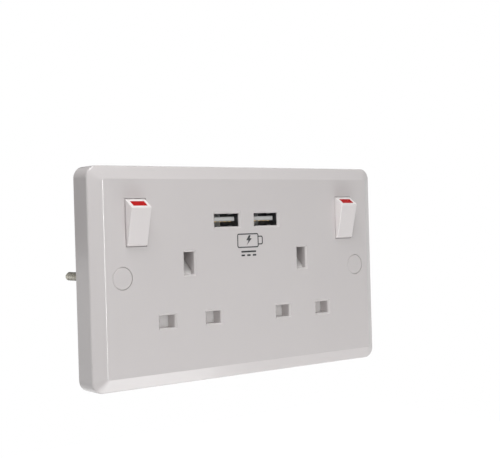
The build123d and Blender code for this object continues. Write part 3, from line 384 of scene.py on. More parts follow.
@dataclass(frozen=True)
class TurnedMetal:
    """Turned and plated metal with tool rings along the wall's normal."""

    name: str
    colour: Colour
    shadow: Colour
    pitch: float = 0.09
    gloss: float = 0.26

    def material(self) -> bpy.types.Material:
        """Make the material of this finish."""
        bench = ShaderBench(self.name)
        bloom = bench.noise(1.3, detail=4.0, roughness=0.6)
        bench.feed("Base Color", bench.tint(bloom, self.shadow, self.colour, 0.3, 0.62))
        wear = bench.noise(0.6)
        bench.feed("Roughness", bench.between(wear, self.gloss - 0.06, self.gloss + 0.14))
        tool = bench.bump(bench.rings(self.pitch, "Y"), 0.0009)
        bench.feed("Normal", bench.bump(bench.noise(0.12, detail=2.0), 0.0008, tool))
        bench.set("Metallic", 1.0)
        return bench.material


@dataclass(frozen=True)
class Laminate:
    """Lacquered board with the shimmer of its glass cloth and copper lands under the lacquer."""

    name: str
    lacquer: Colour
    over_copper: Colour
    thread: float = 0.42
    thread_depth: float = 0.0035
    copper_depth: float = 0.035
    copper_edge: tuple[float, float] = (0.42, 0.46)

    def material(self) -> bpy.types.Material:
        """Make the material of this finish."""
        bench = ShaderBench(self.name)
        lands = bench.cells(3.1)
        colour = bench.tint(lands, self.over_copper, self.lacquer, *self.copper_edge)
        bench.feed("Base Color", colour)
        warp = bench.bump(bench.rings(self.thread, "X"), self.thread_depth)
        weft = bench.bump(bench.rings(self.thread, "Z"), self.thread_depth, warp)
        edge = bench.between(lands, 1.0, 0.0, *self.copper_edge)
        bench.feed("Normal", bench.bump(edge, self.copper_depth, weft))
        bench.feed("Roughness", bench.between(bench.noise(1.8), 0.19, 0.26))
        bench.set("Coat Weight", 0.4)
        return bench.material


@dataclass(frozen=True)
class Sinter:
    """Dark pressed and sintered powder with tiny pits."""

    name: str
    colour: Colour

    def material(self) -> bpy.types.Material:
        """Make the material of this finish."""
        bench = ShaderBench(self.name)
        grit = bench.noise(0.3, detail=5.0, roughness=0.7)
        bench.feed("Base Color", bench.tint(grit, shade(self.colour, 0.7), shade(self.colour, 1.3)))
        pits = bench.between(bench.cells(0.35), 0.0, 1.0, 0.0, 0.3)
        bench.feed("Normal", bench.bump(pits, 0.012, bench.bump(grit, 0.006)))
        bench.feed("Roughness", bench.between(grit, 0.55, 0.75))
        return bench.material


@dataclass(frozen=True)
class WoundTape:
    """Plastic film wound in overlapping turns."""

    name: str
    colour: Colour
    turn: float = 1.7
    axis: str = "Z"

    def material(self) -> bpy.types.Material:
        """Make the material of this finish."""
        bench = ShaderBench(self.name)
        laps = bench.rings(self.turn, self.axis)
        bench.feed("Base Color", bench.tint(laps, shade(self.colour, 0.86), self.colour, 0.02, 0.2))
        wrinkle = bench.bump(bench.noise(0.9, detail=3.0, stretch=(1.0, 1.0, 3.0)), 0.02)
        bench.feed("Normal", bench.bump(bench.between(laps, 0.0, 1.0, 0.0, 0.25), 0.04, wrinkle))
        bench.feed("Roughness", bench.between(bench.noise(2.2), 0.16, 0.25))
        return bench.material


@dataclass(frozen=True)
class Ink:
    """Pad-printed ink with a slightly uneven film."""

    name: str
    colour: Colour

    def material(self) -> bpy.types.Material:
        """Make the material of this finish."""
        bench = ShaderBench(self.name)
        film = bench.noise(0.25, detail=3.0)
        bench.feed("Base Color", bench.tint(film, self.colour, shade(self.colour, 2.2)))
        bench.feed("Roughness", bench.between(film, 0.38, 0.55))
        bench.feed("Normal", bench.bump(film, 0.002))
        return bench.material


FACE_WHITE: Colour = (0.645, 0.613, 0.610)
BRASS: Colour = (0.78, 0.56, 0.25)
DULL_BRASS: Colour = (0.55, 0.36, 0.15)
INK = Ink("black_ink", (0.012, 0.012, 0.013))

FINISHES = {
    "plate": Moulding("white_urea", FACE_WHITE, gloss=0.24, flow=24.0, coat=0.2),
    "cap": Moulding("white_cap", shade(FACE_WHITE, 1.01), gloss=0.24, flow=7.0),
    "rocker": Moulding("white_rocker", shade(FACE_WHITE, 1.25), gloss=0.22, flow=9.0, coat=0.2),
    "rocker_window": TintedInsert("red_window", (0.50, 0.004, 0.005), (0.38, 0.002, 0.003)),
    "shutter": Moulding("pale_shutter", (0.87, 0.85, 0.84), gloss=0.5, grain_depth=0.001),
    "plunger": Moulding("dark_plunger", (0.03, 0.03, 0.032), gloss=0.45, mottle=0.2),
    "base_plastic": Moulding(
        "charcoal_base", (0.10, 0.10, 0.104), gloss=0.45, mottle=0.12, grain=0.35, grain_depth=0.003
    ),
    "spring_steel": RolledMetal(
        "spring_wire", (0.56, 0.56, 0.58), (0.38, 0.38, 0.40), lines=Grain.ALONG_Z
    ),
    "brass_strip": RolledMetal("brass_sheet", BRASS, DULL_BRASS),
    "brass_block": RolledMetal(
        "brass_bar", shade(BRASS, 1.05), DULL_BRASS, lines=Grain.ALONG_Z, gloss=0.36
    ),
    "gilt_lead": RolledMetal(
        "gilt_strip", (0.90, 0.66, 0.26), (0.74, 0.5, 0.18), lines=Grain.ALONG_Y, gloss=0.22
    ),
    "plated_screw": TurnedMetal("zinc_plate", (0.66, 0.64, 0.57), (0.47, 0.45, 0.38)),
    "port_steel": RolledMetal(
        "dull_shell", (0.20, 0.20, 0.21), (0.11, 0.11, 0.115), lines=Grain.ALONG_Y, gloss=0.4
    ),
    "port_core": Moulding("white_core", (0.72, 0.72, 0.71), gloss=0.42, flow=3.0),
    "board": Laminate("green_board", (0.012, 0.10, 0.035), (0.03, 0.20, 0.06)),
    "ferrite": Sinter("dark_ferrite", (0.045, 0.043, 0.042)),
    "coil_tape": WoundTape("yellow_tape", (0.80, 0.52, 0.05)),
    "capacitor_sleeve": WoundTape("dark_sleeve", (0.02, 0.024, 0.05), turn=6.0, axis="Y"),
    "chip": Moulding("black_chip", (0.02, 0.02, 0.022), gloss=0.5, mottle=0.25, grain_depth=0.004),
    "filter_case": Moulding("yellow_case", (0.62, 0.42, 0.04), gloss=0.34, mottle=0.04),
}


class Wardrobe:
    """Hands out the material of each slot, made once."""

    def __init__(self) -> None:
        """Read which slot each node takes its finish from."""
        self.slots = {row["node"]: row["material_slot"] for row in frame["record"]["subparts"]}
        self.made: dict[str, bpy.types.Material] = {}

    def material(self, slot: str) -> bpy.types.Material:
        """The material of a slot."""
        if slot not in self.made:
            self.made[slot] = FINISHES[slot].material()
        return self.made[slot]

    def dress_nodes(self, names: Iterable[str]) -> None:
        """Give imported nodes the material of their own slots.

        Args:
            names: Names of the nodes.
        """
        for name in names:
            materials = frame["nodes"][name].data.materials
            materials.clear()
            materials.append(self.material(self.slots[name]))
            log.info("dressed %s in %s", name, self.slots[name])

    def dress_piece(self, piece: bpy.types.Object, slot: str) -> None:
        """Give a modelled piece the material of a slot."""
        piece.data.materials.clear()
        piece.data.materials.append(self.material(slot))

    def print_piece(self, piece: bpy.types.Object) -> None:
        """Give a printed mark its ink."""
        if "ink" not in self.made:
            self.made["ink"] = INK.material()
        piece.data.materials.clear()
        piece.data.materials.append(self.made["ink"])


class Bench:
    """Modelling by hand: one object at a time, with its faces picked by place."""

    @staticmethod
    def clear() -> None:
        """Leave edit mode and deselect everything."""
        if bpy.context.object is not None and bpy.context.object.mode != "OBJECT":
            bpy.ops.object.mode_set(mode="OBJECT")
        bpy.ops.object.select_all(action="DESELECT")

    @staticmethod
    def take(*pieces: bpy.types.Object) -> None:
        """Select only these pieces and make the first one active."""
        Bench.clear()
        for piece in pieces:
            piece.select_set(True)
        bpy.context.view_layer.objects.active = pieces[0]

    @staticmethod
    def new(name: str) -> bpy.types.Object:
        """Name the primitive that was just added, and settle its place into its mesh."""
        piece = bpy.context.object
        piece.name = name
        piece.data.name = name
        Bench.settle(piece)
        return piece

    @staticmethod
    def settle(piece: bpy.types.Object) -> None:
        """Put a piece's place, turn and scale into its mesh."""
        Bench.take(piece)
        bpy.ops.object.transform_apply(location=True, rotation=True, scale=True)

    @staticmethod
    def edit(piece: bpy.types.Object, wanted: Callable[[Vector, Vector], bool]) -> None:
        """Open a piece with only the wanted faces selected.

        Args:
            piece: The piece.
            wanted: Says of a face, from its middle and its normal, whether it is picked.
        """
        Bench.take(piece)
        bpy.ops.object.mode_set(mode="EDIT")
        bpy.ops.mesh.select_mode(type="FACE")
        bpy.ops.mesh.select_all(action="DESELECT")
        bpy.ops.object.mode_set(mode="OBJECT")
        for face in piece.data.polygons:
            face.select = wanted(face.center, face.normal)
        bpy.ops.object.mode_set(mode="EDIT")

    @staticmethod
    def edit_all(piece: bpy.types.Object) -> None:
        """Open a piece with all of it selected."""
        Bench.take(piece)
        bpy.ops.object.mode_set(mode="EDIT")
        bpy.ops.mesh.select_all(action="SELECT")

    @staticmethod
    def close() -> None:
        """Go back to object mode."""
        bpy.ops.object.mode_set(mode="OBJECT")

    @staticmethod
    def cut(piece: bpy.types.Object, place: Vector, normal: Vector, fill: bool = True) -> None:
        """Cut a piece by a plane and throw away what lies in front of it.

        Args:
            piece: The piece.
            place: A point on the plane.
            normal: Direction of the side that goes.
            fill: Whether the cut is closed with a face.
        """
        Bench.edit_all(piece)
        bpy.ops.mesh.bisect(plane_co=place, plane_no=normal, use_fill=fill, clear_outer=True)
        Bench.close()

    @staticmethod
    def modify(piece: bpy.types.Object, kind: str, **settings: object) -> None:
        """Add one modifier to a piece and apply it at once.

        Args:
            piece: The piece.
            kind: Type of the modifier.
            settings: Its settings by name.
        """
        Bench.take(piece)
        modifier = piece.modifiers.new(kind.title(), kind)
        for key, value in settings.items():
            setattr(modifier, key, value)
        bpy.ops.object.modifier_apply(modifier=modifier.name)

    @staticmethod
    def tidy(piece: bpy.types.Object, merge: float = 1e-6) -> None:
        """Merge doubled points and turn every face outwards."""
        Bench.edit_all(piece)
        bpy.ops.mesh.remove_doubles(threshold=merge)
        bpy.ops.mesh.select_all(action="SELECT")
        bpy.ops.mesh.normals_make_consistent(inside=False)
        Bench.close()

    @staticmethod
    def smooth(piece: bpy.types.Object, degrees: float = 32.0) -> None:
        """Shade a piece smooth except at edges sharper than an angle."""
        Bench.take(piece)
        bpy.ops.object.shade_smooth_by_angle(angle=math.radians(degrees))

    @staticmethod
    def join(name: str, pieces: list[bpy.types.Object]) -> bpy.types.Object:
        """Join pieces into one object.

        Args:
            name: Name of the joined object.
            pieces: The pieces, which go into the first of them.

        Returns:
            The joined object.
        """
        Bench.take(*pieces)
        bpy.ops.object.join()
        joined = bpy.context.object
        joined.name = name
        joined.data.name = name
        return joined

    @staticmethod
    def copy_of(node: str, name: str) -> bpy.types.Object:
        """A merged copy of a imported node's mesh.

        Args:
            node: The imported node.
            name: Name of the copy.

        Returns:
            The copy, as a piece of its own.
        """
        piece = bpy.data.objects.new(name, frame["nodes"][node].data.copy())
        bpy.context.scene.collection.objects.link(piece)
        Bench.tidy(piece, merge=1e-7)
        return piece


@dataclass
class ChargingSign:
    """Printed sign over the middle: a battery with a bolt, and direct current under it."""

    face: float
    battery_x: tuple[float, float] = (-5.5, 5.6)
    battery_z: tuple[float, float] = (9.6, 15.5)
    nose_end: float = 7.85
    nose_z: tuple[float, float] = (10.7, 14.4)
    corner: float = 0.85
    stroke: float = 0.48
    film: float = 0.03
    film_depth: float = 0.042
    bolt: tuple[tuple[float, float], ...] = (
        (1.50, 14.80),
        (0.50, 14.68),
        (-0.80, 12.72),
        (0.34, 12.60),
        (-0.60, 10.70),
        (2.00, 13.40),
        (1.02, 13.50),
    )
    bar_x: tuple[float, float] = (-3.6, 4.2)
    bar_z: float = 8.0
    bar_height: float = 0.72
    bar_round: float = 0.96
    dash_z: float = 6.5
    dashes: int = 3
    dash_share: float = 0.64

    def flat(self, name: str, x: tuple[float, float], z: tuple[float, float]) -> bpy.types.Object:
        """A flat sheet on the face, looking out of the wall."""
        Bench.clear()
        middle = ((x[0] + x[1]) / 2 * MM, self.face - self.film * MM, (z[0] + z[1]) / 2 * MM)
        bpy.ops.mesh.primitive_plane_add(size=1, location=middle, rotation=(math.pi / 2, 0, 0))
        bpy.context.object.scale = ((x[1] - x[0]) * MM, (z[1] - z[0]) * MM, 1)
        return Bench.new(name)

    def ring(self, name: str, x: tuple[float, float], z: tuple[float, float]) -> bpy.types.Object:
        """A round-cornered outline of the sign's stroke."""
        sheet = self.flat(name, x, z)
        Bench.edit_all(sheet)
        bpy.ops.mesh.bevel(offset=self.corner * MM, segments=6, affect="VERTICES")
        bpy.ops.mesh.select_all(action="SELECT")
        bpy.ops.mesh.inset(thickness=self.stroke * MM)
        bpy.ops.mesh.delete(type="FACE")
        Bench.close()
        return sheet

    def bar(self, name: str, x: tuple[float, float], z: float) -> bpy.types.Object:
        """A short bar with round ends."""
        half = self.bar_height / 2
        sheet = self.flat(name, x, (z - half, z + half))
        Bench.edit_all(sheet)
        bpy.ops.mesh.bevel(offset=half * self.bar_round * MM, segments=5, affect="VERTICES")
        Bench.close()
        return sheet

    def flash(self) -> bpy.types.Object:
        """The filled bolt inside the battery."""
        Bench.clear()
        bpy.ops.mesh.primitive_circle_add(
            vertices=len(self.bolt),
            radius=MM,
            fill_type="NGON",
            location=(0, self.face - self.film * MM, 0),
            rotation=(math.pi / 2, 0, 0),
        )
        flash = Bench.new("sign_bolt")
        for vertex, (x, z) in zip(flash.data.vertices, self.bolt):
            vertex.co.x, vertex.co.z = x * MM, z * MM
        Bench.edit_all(flash)
        bpy.ops.mesh.quads_convert_to_tris()
        Bench.close()
        return flash

    def build(self, wardrobe: Wardrobe) -> bpy.types.Object:
        """Print the sign.

        Args:
            wardrobe: Gives the ink.

        Returns:
            The sign as one piece.
        """
        body = self.ring("sign_battery", self.battery_x, self.battery_z)
        overlap = self.battery_x[1] - 3 * self.corner
        nose = self.ring("sign_nose", (overlap, self.nose_end), self.nose_z)
        edge = Vector(((self.battery_x[1] - self.stroke / 2) * MM, 0, 0))
        Bench.cut(nose, edge, Vector((-1, 0, 0)), fill=False)
        parts = [body, nose, self.flash(), self.bar("sign_bar", self.bar_x, self.bar_z)]
        step = (self.bar_x[1] - self.bar_x[0]) / (self.dashes - 1 + self.dash_share)
        for number in range(self.dashes):
            start = self.bar_x[0] + number * step
            across = (start, start + self.dash_share * step)
            parts.append(self.bar(f"sign_dash_{number}", across, self.dash_z))
        sign = Bench.join("charging_sign", parts)
        Bench.edit_all(sign)
        bpy.ops.mesh.normals_make_consistent(inside=False)
        Bench.close()
        if sum(face.normal.y * face.area for face in sign.data.polygons) > 0:
            sign.data.flip_normals()
        Bench.modify(sign, "SOLIDIFY", thickness=self.film_depth * MM, offset=-1)
        Bench.tidy(sign)
        wardrobe.print_piece(sign)
        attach(sign, "root")
        log.info("printed %s", sign.name)
        return sign


@dataclass
class FrontPlate:
    """Bevelled plate with its screw caps and the printed sign."""

    nodes: tuple[str, ...] = ("front_plate", "screw_cap_left", "screw_cap_right")

    def build(self, wardrobe: Wardrobe) -> None:
        """Dress the plate and print on it.

        Args:
            wardrobe: Gives the finishes.
        """
        wardrobe.dress_nodes(self.nodes)
        low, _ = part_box("front_plate")
        ChargingSign(face=low.y).build(wardrobe)


@dataclass
class FixingScrew:
    """Machine screw of one fixing hole, with a cut thread behind the wall plane.

    The thread's root and crest are shares of its pitch.
    """

    side: Side
    pitch: float = 0.6
    thread_depth: float = 0.36
    root: tuple[float, float] = (0.06, 0.94)
    crest: tuple[float, float] = (0.42, 0.58)
    steps: int = 24
    point: float = 0.7
    taper: float = 0.72

    def core(self, radius: float, length: float) -> bpy.types.Object:
        """Plain core of the shank from the wall plane on, with a tapered point.

        Args:
            radius: Radius at the thread's root, in metres.
            length: Length with the point, in metres.

        Returns:
            The core, with its axis on Y.
        """
        point = self.point * MM
        Bench.clear()
        bpy.ops.mesh.primitive_cylinder_add(
            vertices=self.steps,
            radius=radius,
            depth=length - point,
            location=(0, (length - point) / 2, 0),
            rotation=(math.pi / 2, 0, 0),
        )
        core = Bench.new("screw_core")
        Bench.edit(core, lambda middle, normal: normal.y > 0.99)
        bpy.ops.mesh.extrude_region_move(TRANSFORM_OT_translate={"value": (0, point, 0)})
        taper = (self.taper, 1, self.taper)
        bpy.ops.transform.resize(value=taper, center_override=(0, length, 0))
        Bench.close()
        return core

    def ridge(self, core: float, radius: float, length: float) -> bpy.types.Object:
        """Right-hand thread round the core, cut square at both ends.

        Args:
            core: Radius of the core, in metres.
            radius: Outer radius of the thread, in metres.
            length: Length of the shank with its point, in metres.

        Returns:
            The thread, sunk a little into the core.
        """
        pitch = self.pitch * MM
        sunk = core - self.thread_depth * MM / 4
        profile = (
            (sunk, self.root[0]),
            (radius, self.crest[0]),
            (sunk, self.root[1]),
            (radius, self.crest[1]),
        )
        Bench.clear()
        bpy.ops.mesh.primitive_plane_add(size=pitch)
        ridge = Bench.new("screw_ridge")
        for vertex, (out, share) in zip(ridge.data.vertices, profile):
            vertex.co = (out, (share - 1) * pitch, 0)
        Bench.edit_all(ridge)
        bpy.ops.mesh.delete(type="ONLY_FACE")
        Bench.close()
        Bench.modify(
            ridge,
            "SCREW",
            axis="Y",
            steps=self.steps,
            render_steps=self.steps,
            screw_offset=pitch,
            iterations=math.ceil(length / pitch) + 2,
            use_smooth_shade=False,
        )
        Bench.cut(ridge, Vector((0, 0, 0)), Vector((0, -1, 0)))
        Bench.cut(ridge, Vector((0, length - self.point * MM, 0)), Vector((0, 1, 0)))
        Bench.tidy(ridge)
        return ridge

    def shank(self, centre: Vector, radius: float, length: float) -> bpy.types.Object:
        """Threaded shank behind the wall plane.

        Args:
            centre: Middle of the shank's front end.
            radius: Outer radius, in metres.
            length: Length into the wall, in metres.

        Returns:
            The core and its thread as one piece.
        """
        core = radius - self.thread_depth * MM
        parts = [self.core(core, length), self.ridge(core, radius, length)]
        shank = Bench.join("screw_shank", parts)
        shank.location = centre
        Bench.settle(shank)
        return shank

    def build(self, wardrobe: Wardrobe) -> bpy.types.Object:
        """Cut the thread onto the screw's own head and neck.

        Args:
            wardrobe: Gives the finish.

        Returns:
            The screw, which stands for its node.
        """
        node = f"fixing_screw_{self.side.value}"
        low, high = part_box(node)
        middle = (low + high) / 2
        head = Bench.copy_of(node, f"screw_head_{self.side.value}")
        Bench.cut(head, Vector((0, 0, 0)), Vector((0, 1, 0)))
        points = [vertex.co for vertex in frame["nodes"][node].data.vertices]
        radius = max(point.x for point in points if point.y > high.y / 2) - middle.x
        shank = self.shank(Vector((middle.x, 0, middle.z)), radius, high.y)
        screw = Bench.join(f"threaded_screw_{self.side.value}", [head, shank])
        Bench.smooth(screw, 28.0)
        wardrobe.dress_piece(screw, "plated_screw")
        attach(screw, "root")
        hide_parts(node)
        log.info("threaded %s", screw.name)
        return screw


@dataclass
class ReturnSpring:
    """Coil spring on the body that carries it, in the place of the imported one.
    """

    part: str
    joint: str
    side: Side
    rounding: float = 45.0

    def build(self, wardrobe: Wardrobe) -> bpy.types.Object:
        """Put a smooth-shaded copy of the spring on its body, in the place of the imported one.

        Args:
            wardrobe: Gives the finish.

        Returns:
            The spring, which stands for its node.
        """
        node = f"{self.part}_{self.side.value}"
        members = frame["record"]["behaviour"]["bodies"]
        body = next(key for key, nodes in members.items() if node in nodes)
        coil = Bench.copy_of(node, f"coiled_{node}")
        Bench.smooth(coil, self.rounding)
        wardrobe.dress_piece(coil, "spring_steel")
        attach(coil, body)
        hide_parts(node)
        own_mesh(coil)
        return coil


@dataclass
class Switch:
    """One rocker switch, from its rocker to the strips of its contacts."""

    side: Side
    parts: tuple[str, ...] = (
        "rocker",
        "rocker_window",
        "plunger",
        "rocking_contact",
        "load_strip",
    )

    def build(self, wardrobe: Wardrobe) -> None:
        """Dress the switch and its spring.

        Args:
            wardrobe: Gives the finishes.
        """
        wardrobe.dress_nodes(f"{part}_{self.side.value}" for part in self.parts)
        ReturnSpring("rocker_spring", "plunger_slide", self.side).build(wardrobe)


@dataclass
class Outlet:
    """Shutter of one outlet with its return spring."""

    side: Side

    def build(self, wardrobe: Wardrobe) -> None:
        """Dress the shutter and its spring.

        Args:
            wardrobe: Gives the finishes.
        """
        wardrobe.dress_nodes([f"shutter_{self.side.value}"])
        ReturnSpring("shutter_spring", "shutter_slide", self.side).build(wardrobe)


@dataclass
class Charger:
    """Circuit board with its components and its two ports."""

    board_nodes: tuple[str, ...] = (
        "circuit_board",
        "transformer_core",
        "transformer_coil",
        "input_capacitor",
        "output_capacitors",
        "control_chip",
        "filter_block",
        "board_screws",
    )
    port_parts: tuple[str, ...] = ("port_shell", "port_core", "port_leads")

    def build(self, wardrobe: Wardrobe) -> None:
        """Dress the board and the ports.

        Args:
            wardrobe: Gives the finishes.
        """
        wardrobe.dress_nodes(self.board_nodes)
        for side in Side:
            wardrobe.dress_nodes(f"{part}_{side.value}" for part in self.port_parts)


@dataclass
class Wiring:
    """Strips and terminals that carry the supply."""

    strips: tuple[str, ...] = ("neutral_bar", "line_bar", "earth_bar")
    places: tuple[str, ...] = ("neutral", "earth_left", "earth_right", "line")

    def build(self, wardrobe: Wardrobe) -> None:
        """Dress the strips, terminals and clamp screws.

        Args:
            wardrobe: Gives the finishes.
        """
        wardrobe.dress_nodes(self.strips)
        wardrobe.dress_nodes(f"terminal_{place}" for place in self.places)
        wardrobe.dress_nodes(f"clamp_screw_{place}" for place in self.places)


class Mark(Enum):
    """Plain raised marks beside the terminals."""

    NEUTRAL = "N"
    LINE = "L"


@dataclass
class BackBody:
    """Base moulding and rear cover with their screws and terminal marks."""

    nodes: tuple[str, ...] = ("base", "rear_cover")
    screws: int = 4
    letter_size: float = 6.6
    weight: float = 0.14
    relief: float = 0.32
    mark_rise: float = 6.25
    earth_stroke: float = 0.8
    earth_stem: tuple[float, float] = (1.7, 3.0)
    earth_bars: tuple[float, ...] = (5.4, 3.6, 1.8)
    earth_step: float = 1.4
    earth_edge: float = 0.1

    def letter(self, mark: Mark, x: float, z: float, back: float) -> bpy.types.Object:
        """A raised letter that reads from behind.

        Args:
            mark: Which letter.
            x: Middle of the letter.
            z: Middle of the letter's height.
            back: Depth of the surface that it stands on.

        Returns:
            The letter as a closed mesh.
        """
        Bench.clear()
        turn = (math.pi / 2, 0, math.pi)
        bpy.ops.object.text_add(location=(x, back, z), rotation=turn)
        text = bpy.context.object
        text.data.body = mark.value
        text.data.size = self.letter_size * MM
        text.data.extrude = self.relief * MM
        text.data.offset = self.weight * MM
        text.data.align_x = "CENTER"
        text.data.align_y = "CENTER"
        Bench.take(text)
        bpy.ops.object.convert(target="MESH")
        letter = Bench.new(f"letter_{mark.name.lower()}")
        Bench.tidy(letter)
        return letter

    def earth_sign(self, x: float, z: float, back: float) -> bpy.types.Object:
        """The raised earth sign: a stem over shorter and shorter bars.

        Args:
            x: Middle of the sign.
            z: Height of its longest bar.
            back: Depth of the surface that it stands on.

        Returns:
            The sign as one piece.
        """
        stroke = self.earth_stroke
        rows = [(self.earth_stem[0], stroke, self.earth_stem[1])]
        for number, width in enumerate(self.earth_bars):
            rows.append((-number * self.earth_step, width, stroke))
        bars = []
        for up, width, height in rows:
            Bench.clear()
            bpy.ops.mesh.primitive_cube_add(size=1, location=(x, back, z + up * MM))
            bpy.context.object.scale = (width * MM, 2 * self.relief * MM, height * MM)
            bar = Bench.new("earth_bar_mark")
            Bench.modify(bar, "BEVEL", width=self.earth_edge * MM, segments=2)
            bars.append(bar)
        return Bench.join("earth_sign", bars)

    def build(self, wardrobe: Wardrobe) -> None:
        """Dress the mouldings and their screws, and raise the marks.

        Args:
            wardrobe: Gives the finishes.
        """
        wardrobe.dress_nodes(self.nodes)
        wardrobe.dress_nodes(f"assembly_screw_{number + 1}" for number in range(self.screws))
        _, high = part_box("rear_cover")
        places = {}
        for name in ("neutral", "line", "earth_left", "earth_right"):
            low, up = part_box(f"terminal_{name}")
            places[name] = (low.x + up.x) / 2
        _, block_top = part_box("terminal_line")
        z = block_top.z + self.mark_rise * MM
        earth_x = (places["earth_left"] + places["earth_right"]) / 2
        marks = [
            self.letter(Mark.NEUTRAL, places["neutral"], z, high.y),
            self.letter(Mark.LINE, places["line"], z, high.y),
            self.earth_sign(earth_x, z, high.y),
        ]
        raised = Bench.join("terminal_marks", marks)
        Bench.smooth(raised, 30.0)
        wardrobe.dress_piece(raised, "base_plastic")
        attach(raised, "root")
        log.info("raised %s", raised.name)


@dataclass
class Lamp:
    """One soft rectangular lamp that looks at a point, in metres and watts."""

    name: str
    place: Vector
    width: float
    height: float
    power: float
    lights: bool = True
    reflected: bool = True
    target: Vector = field(default_factory=lambda: Vector((0, -0.005, 0)))

    def build(self) -> None:
        """Hang the lamp."""
        light = bpy.data.lights.new(self.name, "AREA")
        light.shape = "RECTANGLE"
        light.size, light.size_y = self.width, self.height
        light.energy = self.power
        lamp = bpy.data.objects.new(self.name, light)
        lamp.location = self.place
        lamp.rotation_euler = (self.target - self.place).to_track_quat("-Z", "Y").to_euler()
        lamp.visible_camera = False
        lamp.visible_diffuse = self.lights
        lamp.visible_glossy = self.reflected
        bpy.context.scene.collection.objects.link(lamp)


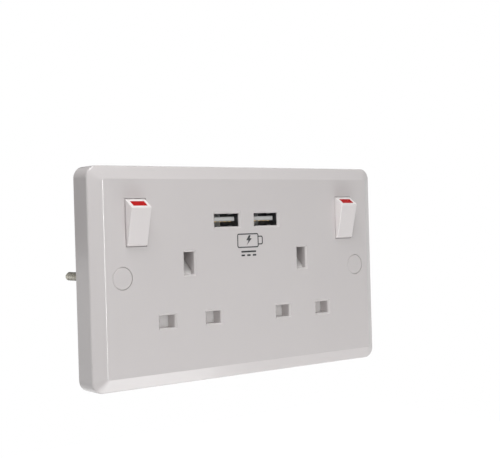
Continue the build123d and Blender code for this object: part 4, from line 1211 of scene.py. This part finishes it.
@dataclass
class Studio:
    """Pale floor, white surroundings, lamps, a dark card and the camera."""

    floor_drop: float = 0.30
    floor_size: float = 2.4
    floor_lift: tuple[float, float] = (0.52, 0.76)
    floor_fade: tuple[float, float] = (0.36, 0.95)
    ambient: float = 0.32
    camera_place: tuple[float, float, float] = (-0.262058, -0.351582, 0.019323)
    camera_right: tuple[float, float, float] = (0.78897466, -0.61380118, -0.02769664)
    camera_up: tuple[float, float, float] = (0.0259695, -0.01172386, 0.99959399)
    lens: float = 74.547
    card_x: tuple[float, float] = (-0.50, 0.30)
    card_y: float = 0.30
    card_z: tuple[float, float] = (0.0, 0.50)

    def lay_floor(self) -> None:
        """Lay a pale floor that takes a soft shadow and fades to white from afar."""
        Bench.clear()
        low, _ = CAD_BOX
        height = low.z - self.floor_drop
        bpy.ops.mesh.primitive_plane_add(size=self.floor_size, location=(0, 0, height))
        floor = Bench.new("floor")
        bench = ShaderBench("pale_floor")
        patch = bench.noise(60.0, detail=3.0)
        bench.feed("Base Color", bench.tint(patch, (0.80, 0.80, 0.80), (0.82, 0.82, 0.82)))
        bench.set("Roughness", 0.9)
        bench.set("Emission Color", (1.0, 1.0, 1.0, 1.0))
        lift = bench.between(bench.reach(), *self.floor_lift, *self.floor_fade)
        shown = bench.nodes.new("ShaderNodeMath")
        shown.operation = "MULTIPLY"
        bench.links.new(looked_at(bench.material.node_tree), shown.inputs[0])
        bench.links.new(lift, shown.inputs[1])
        bench.feed("Emission Strength", shown.outputs["Value"])
        floor.data.materials.append(bench.material)

    def fill_world(self) -> None:
        """Make the surroundings white to look at and moderate as a light."""
        world = bpy.data.worlds.new("white_room")
        bpy.context.scene.world = world
        world.use_nodes = True
        nodes, links = world.node_tree.nodes, world.node_tree.links
        background = nodes["Background"]
        background.inputs["Color"].default_value = (1.0, 1.0, 1.0, 1.0)
        level = nodes.new("ShaderNodeMapRange")
        level.inputs["To Min"].default_value = self.ambient
        level.inputs["To Max"].default_value = 1.0
        links.new(looked_at(world.node_tree), level.inputs["Value"])
        links.new(level.outputs["Result"], background.inputs["Strength"])

    def hang_lamps(self) -> None:
        """Hang the soft lamps above, below and in front of the object."""
        lamps = (
            Lamp("top_lamp", Vector((-0.16, -0.12, 0.40)), 0.22, 0.20, 1.15),
            Lamp("low_lamp", Vector((0.04, -0.14, -0.27)), 0.25, 0.15, 0.38),
            Lamp("front_lamp", Vector((0.02, -0.55, 0.06)), 0.20, 0.30, 0.28, reflected=False),
            Lamp("left_lamp", Vector((-0.26, -0.34, 0.04)), 0.20, 0.30, 0.25, reflected=False),
            Lamp("back_lamp", Vector((0.20, 0.55, 0.25)), 0.40, 0.40, 1.3),
            Lamp("edge_card", Vector((-0.06, -0.50, 0.00)), 0.16, 0.45, 3.6, lights=False),
        )
        for lamp in lamps:
            lamp.build()

    def hang_dark_card(self) -> None:
        """Hang a dark card behind the plate, which only reflections show."""
        Bench.clear()
        (left, right), (low, high) = self.card_x, self.card_z
        middle = ((left + right) / 2, self.card_y, (low + high) / 2)
        bpy.ops.mesh.primitive_plane_add(size=1, location=middle, rotation=(math.pi / 2, 0, 0))
        bpy.context.object.scale = (right - left, high - low, 1)
        card = Bench.new("dark_card")
        bench = ShaderBench("dark_felt")
        felt = bench.noise(4.0)
        bench.feed("Base Color", bench.tint(felt, (0.01, 0.01, 0.01), (0.02, 0.02, 0.02)))
        bench.set("Roughness", 1.0)
        card.data.materials.append(bench.material)
        card.visible_camera = False
        card.visible_diffuse = False
        card.visible_shadow = False
        card.visible_transmission = False

    def set_camera(self) -> None:
        """Place the camera where the reference view was taken from."""
        data = bpy.data.cameras.new("camera")
        data.lens = self.lens
        data.clip_start, data.clip_end = 0.01, 20.0
        camera = bpy.data.objects.new("camera", data)
        right, up = Vector(self.camera_right), Vector(self.camera_up)
        turn = Matrix((right, up, right.cross(up))).transposed()
        camera.matrix_world = Matrix.Translation(self.camera_place) @ turn.to_4x4()
        bpy.context.scene.collection.objects.link(camera)
        bpy.context.scene.camera = camera

    def build(self) -> None:
        """Set up the whole studio."""
        bpy.context.scene.view_settings.view_transform = "Standard"
        self.set_camera()
        self.lay_floor()
        self.fill_world()
        self.hang_lamps()
        self.hang_dark_card()


def main() -> None:
    """Build and dress every sub-assembly, then the studio round it."""
    logging.basicConfig(level=logging.INFO, format="%(name)s: %(message)s")
    wardrobe = Wardrobe()
    FrontPlate().build(wardrobe)
    for side in Side:
        Switch(side).build(wardrobe)
        Outlet(side).build(wardrobe)
        FixingScrew(side).build(wardrobe)
    Charger().build(wardrobe)
    Wiring().build(wardrobe)
    BackBody().build(wardrobe)
    Studio().build()
    Bench.clear()


if __name__ == "__main__":
    main()
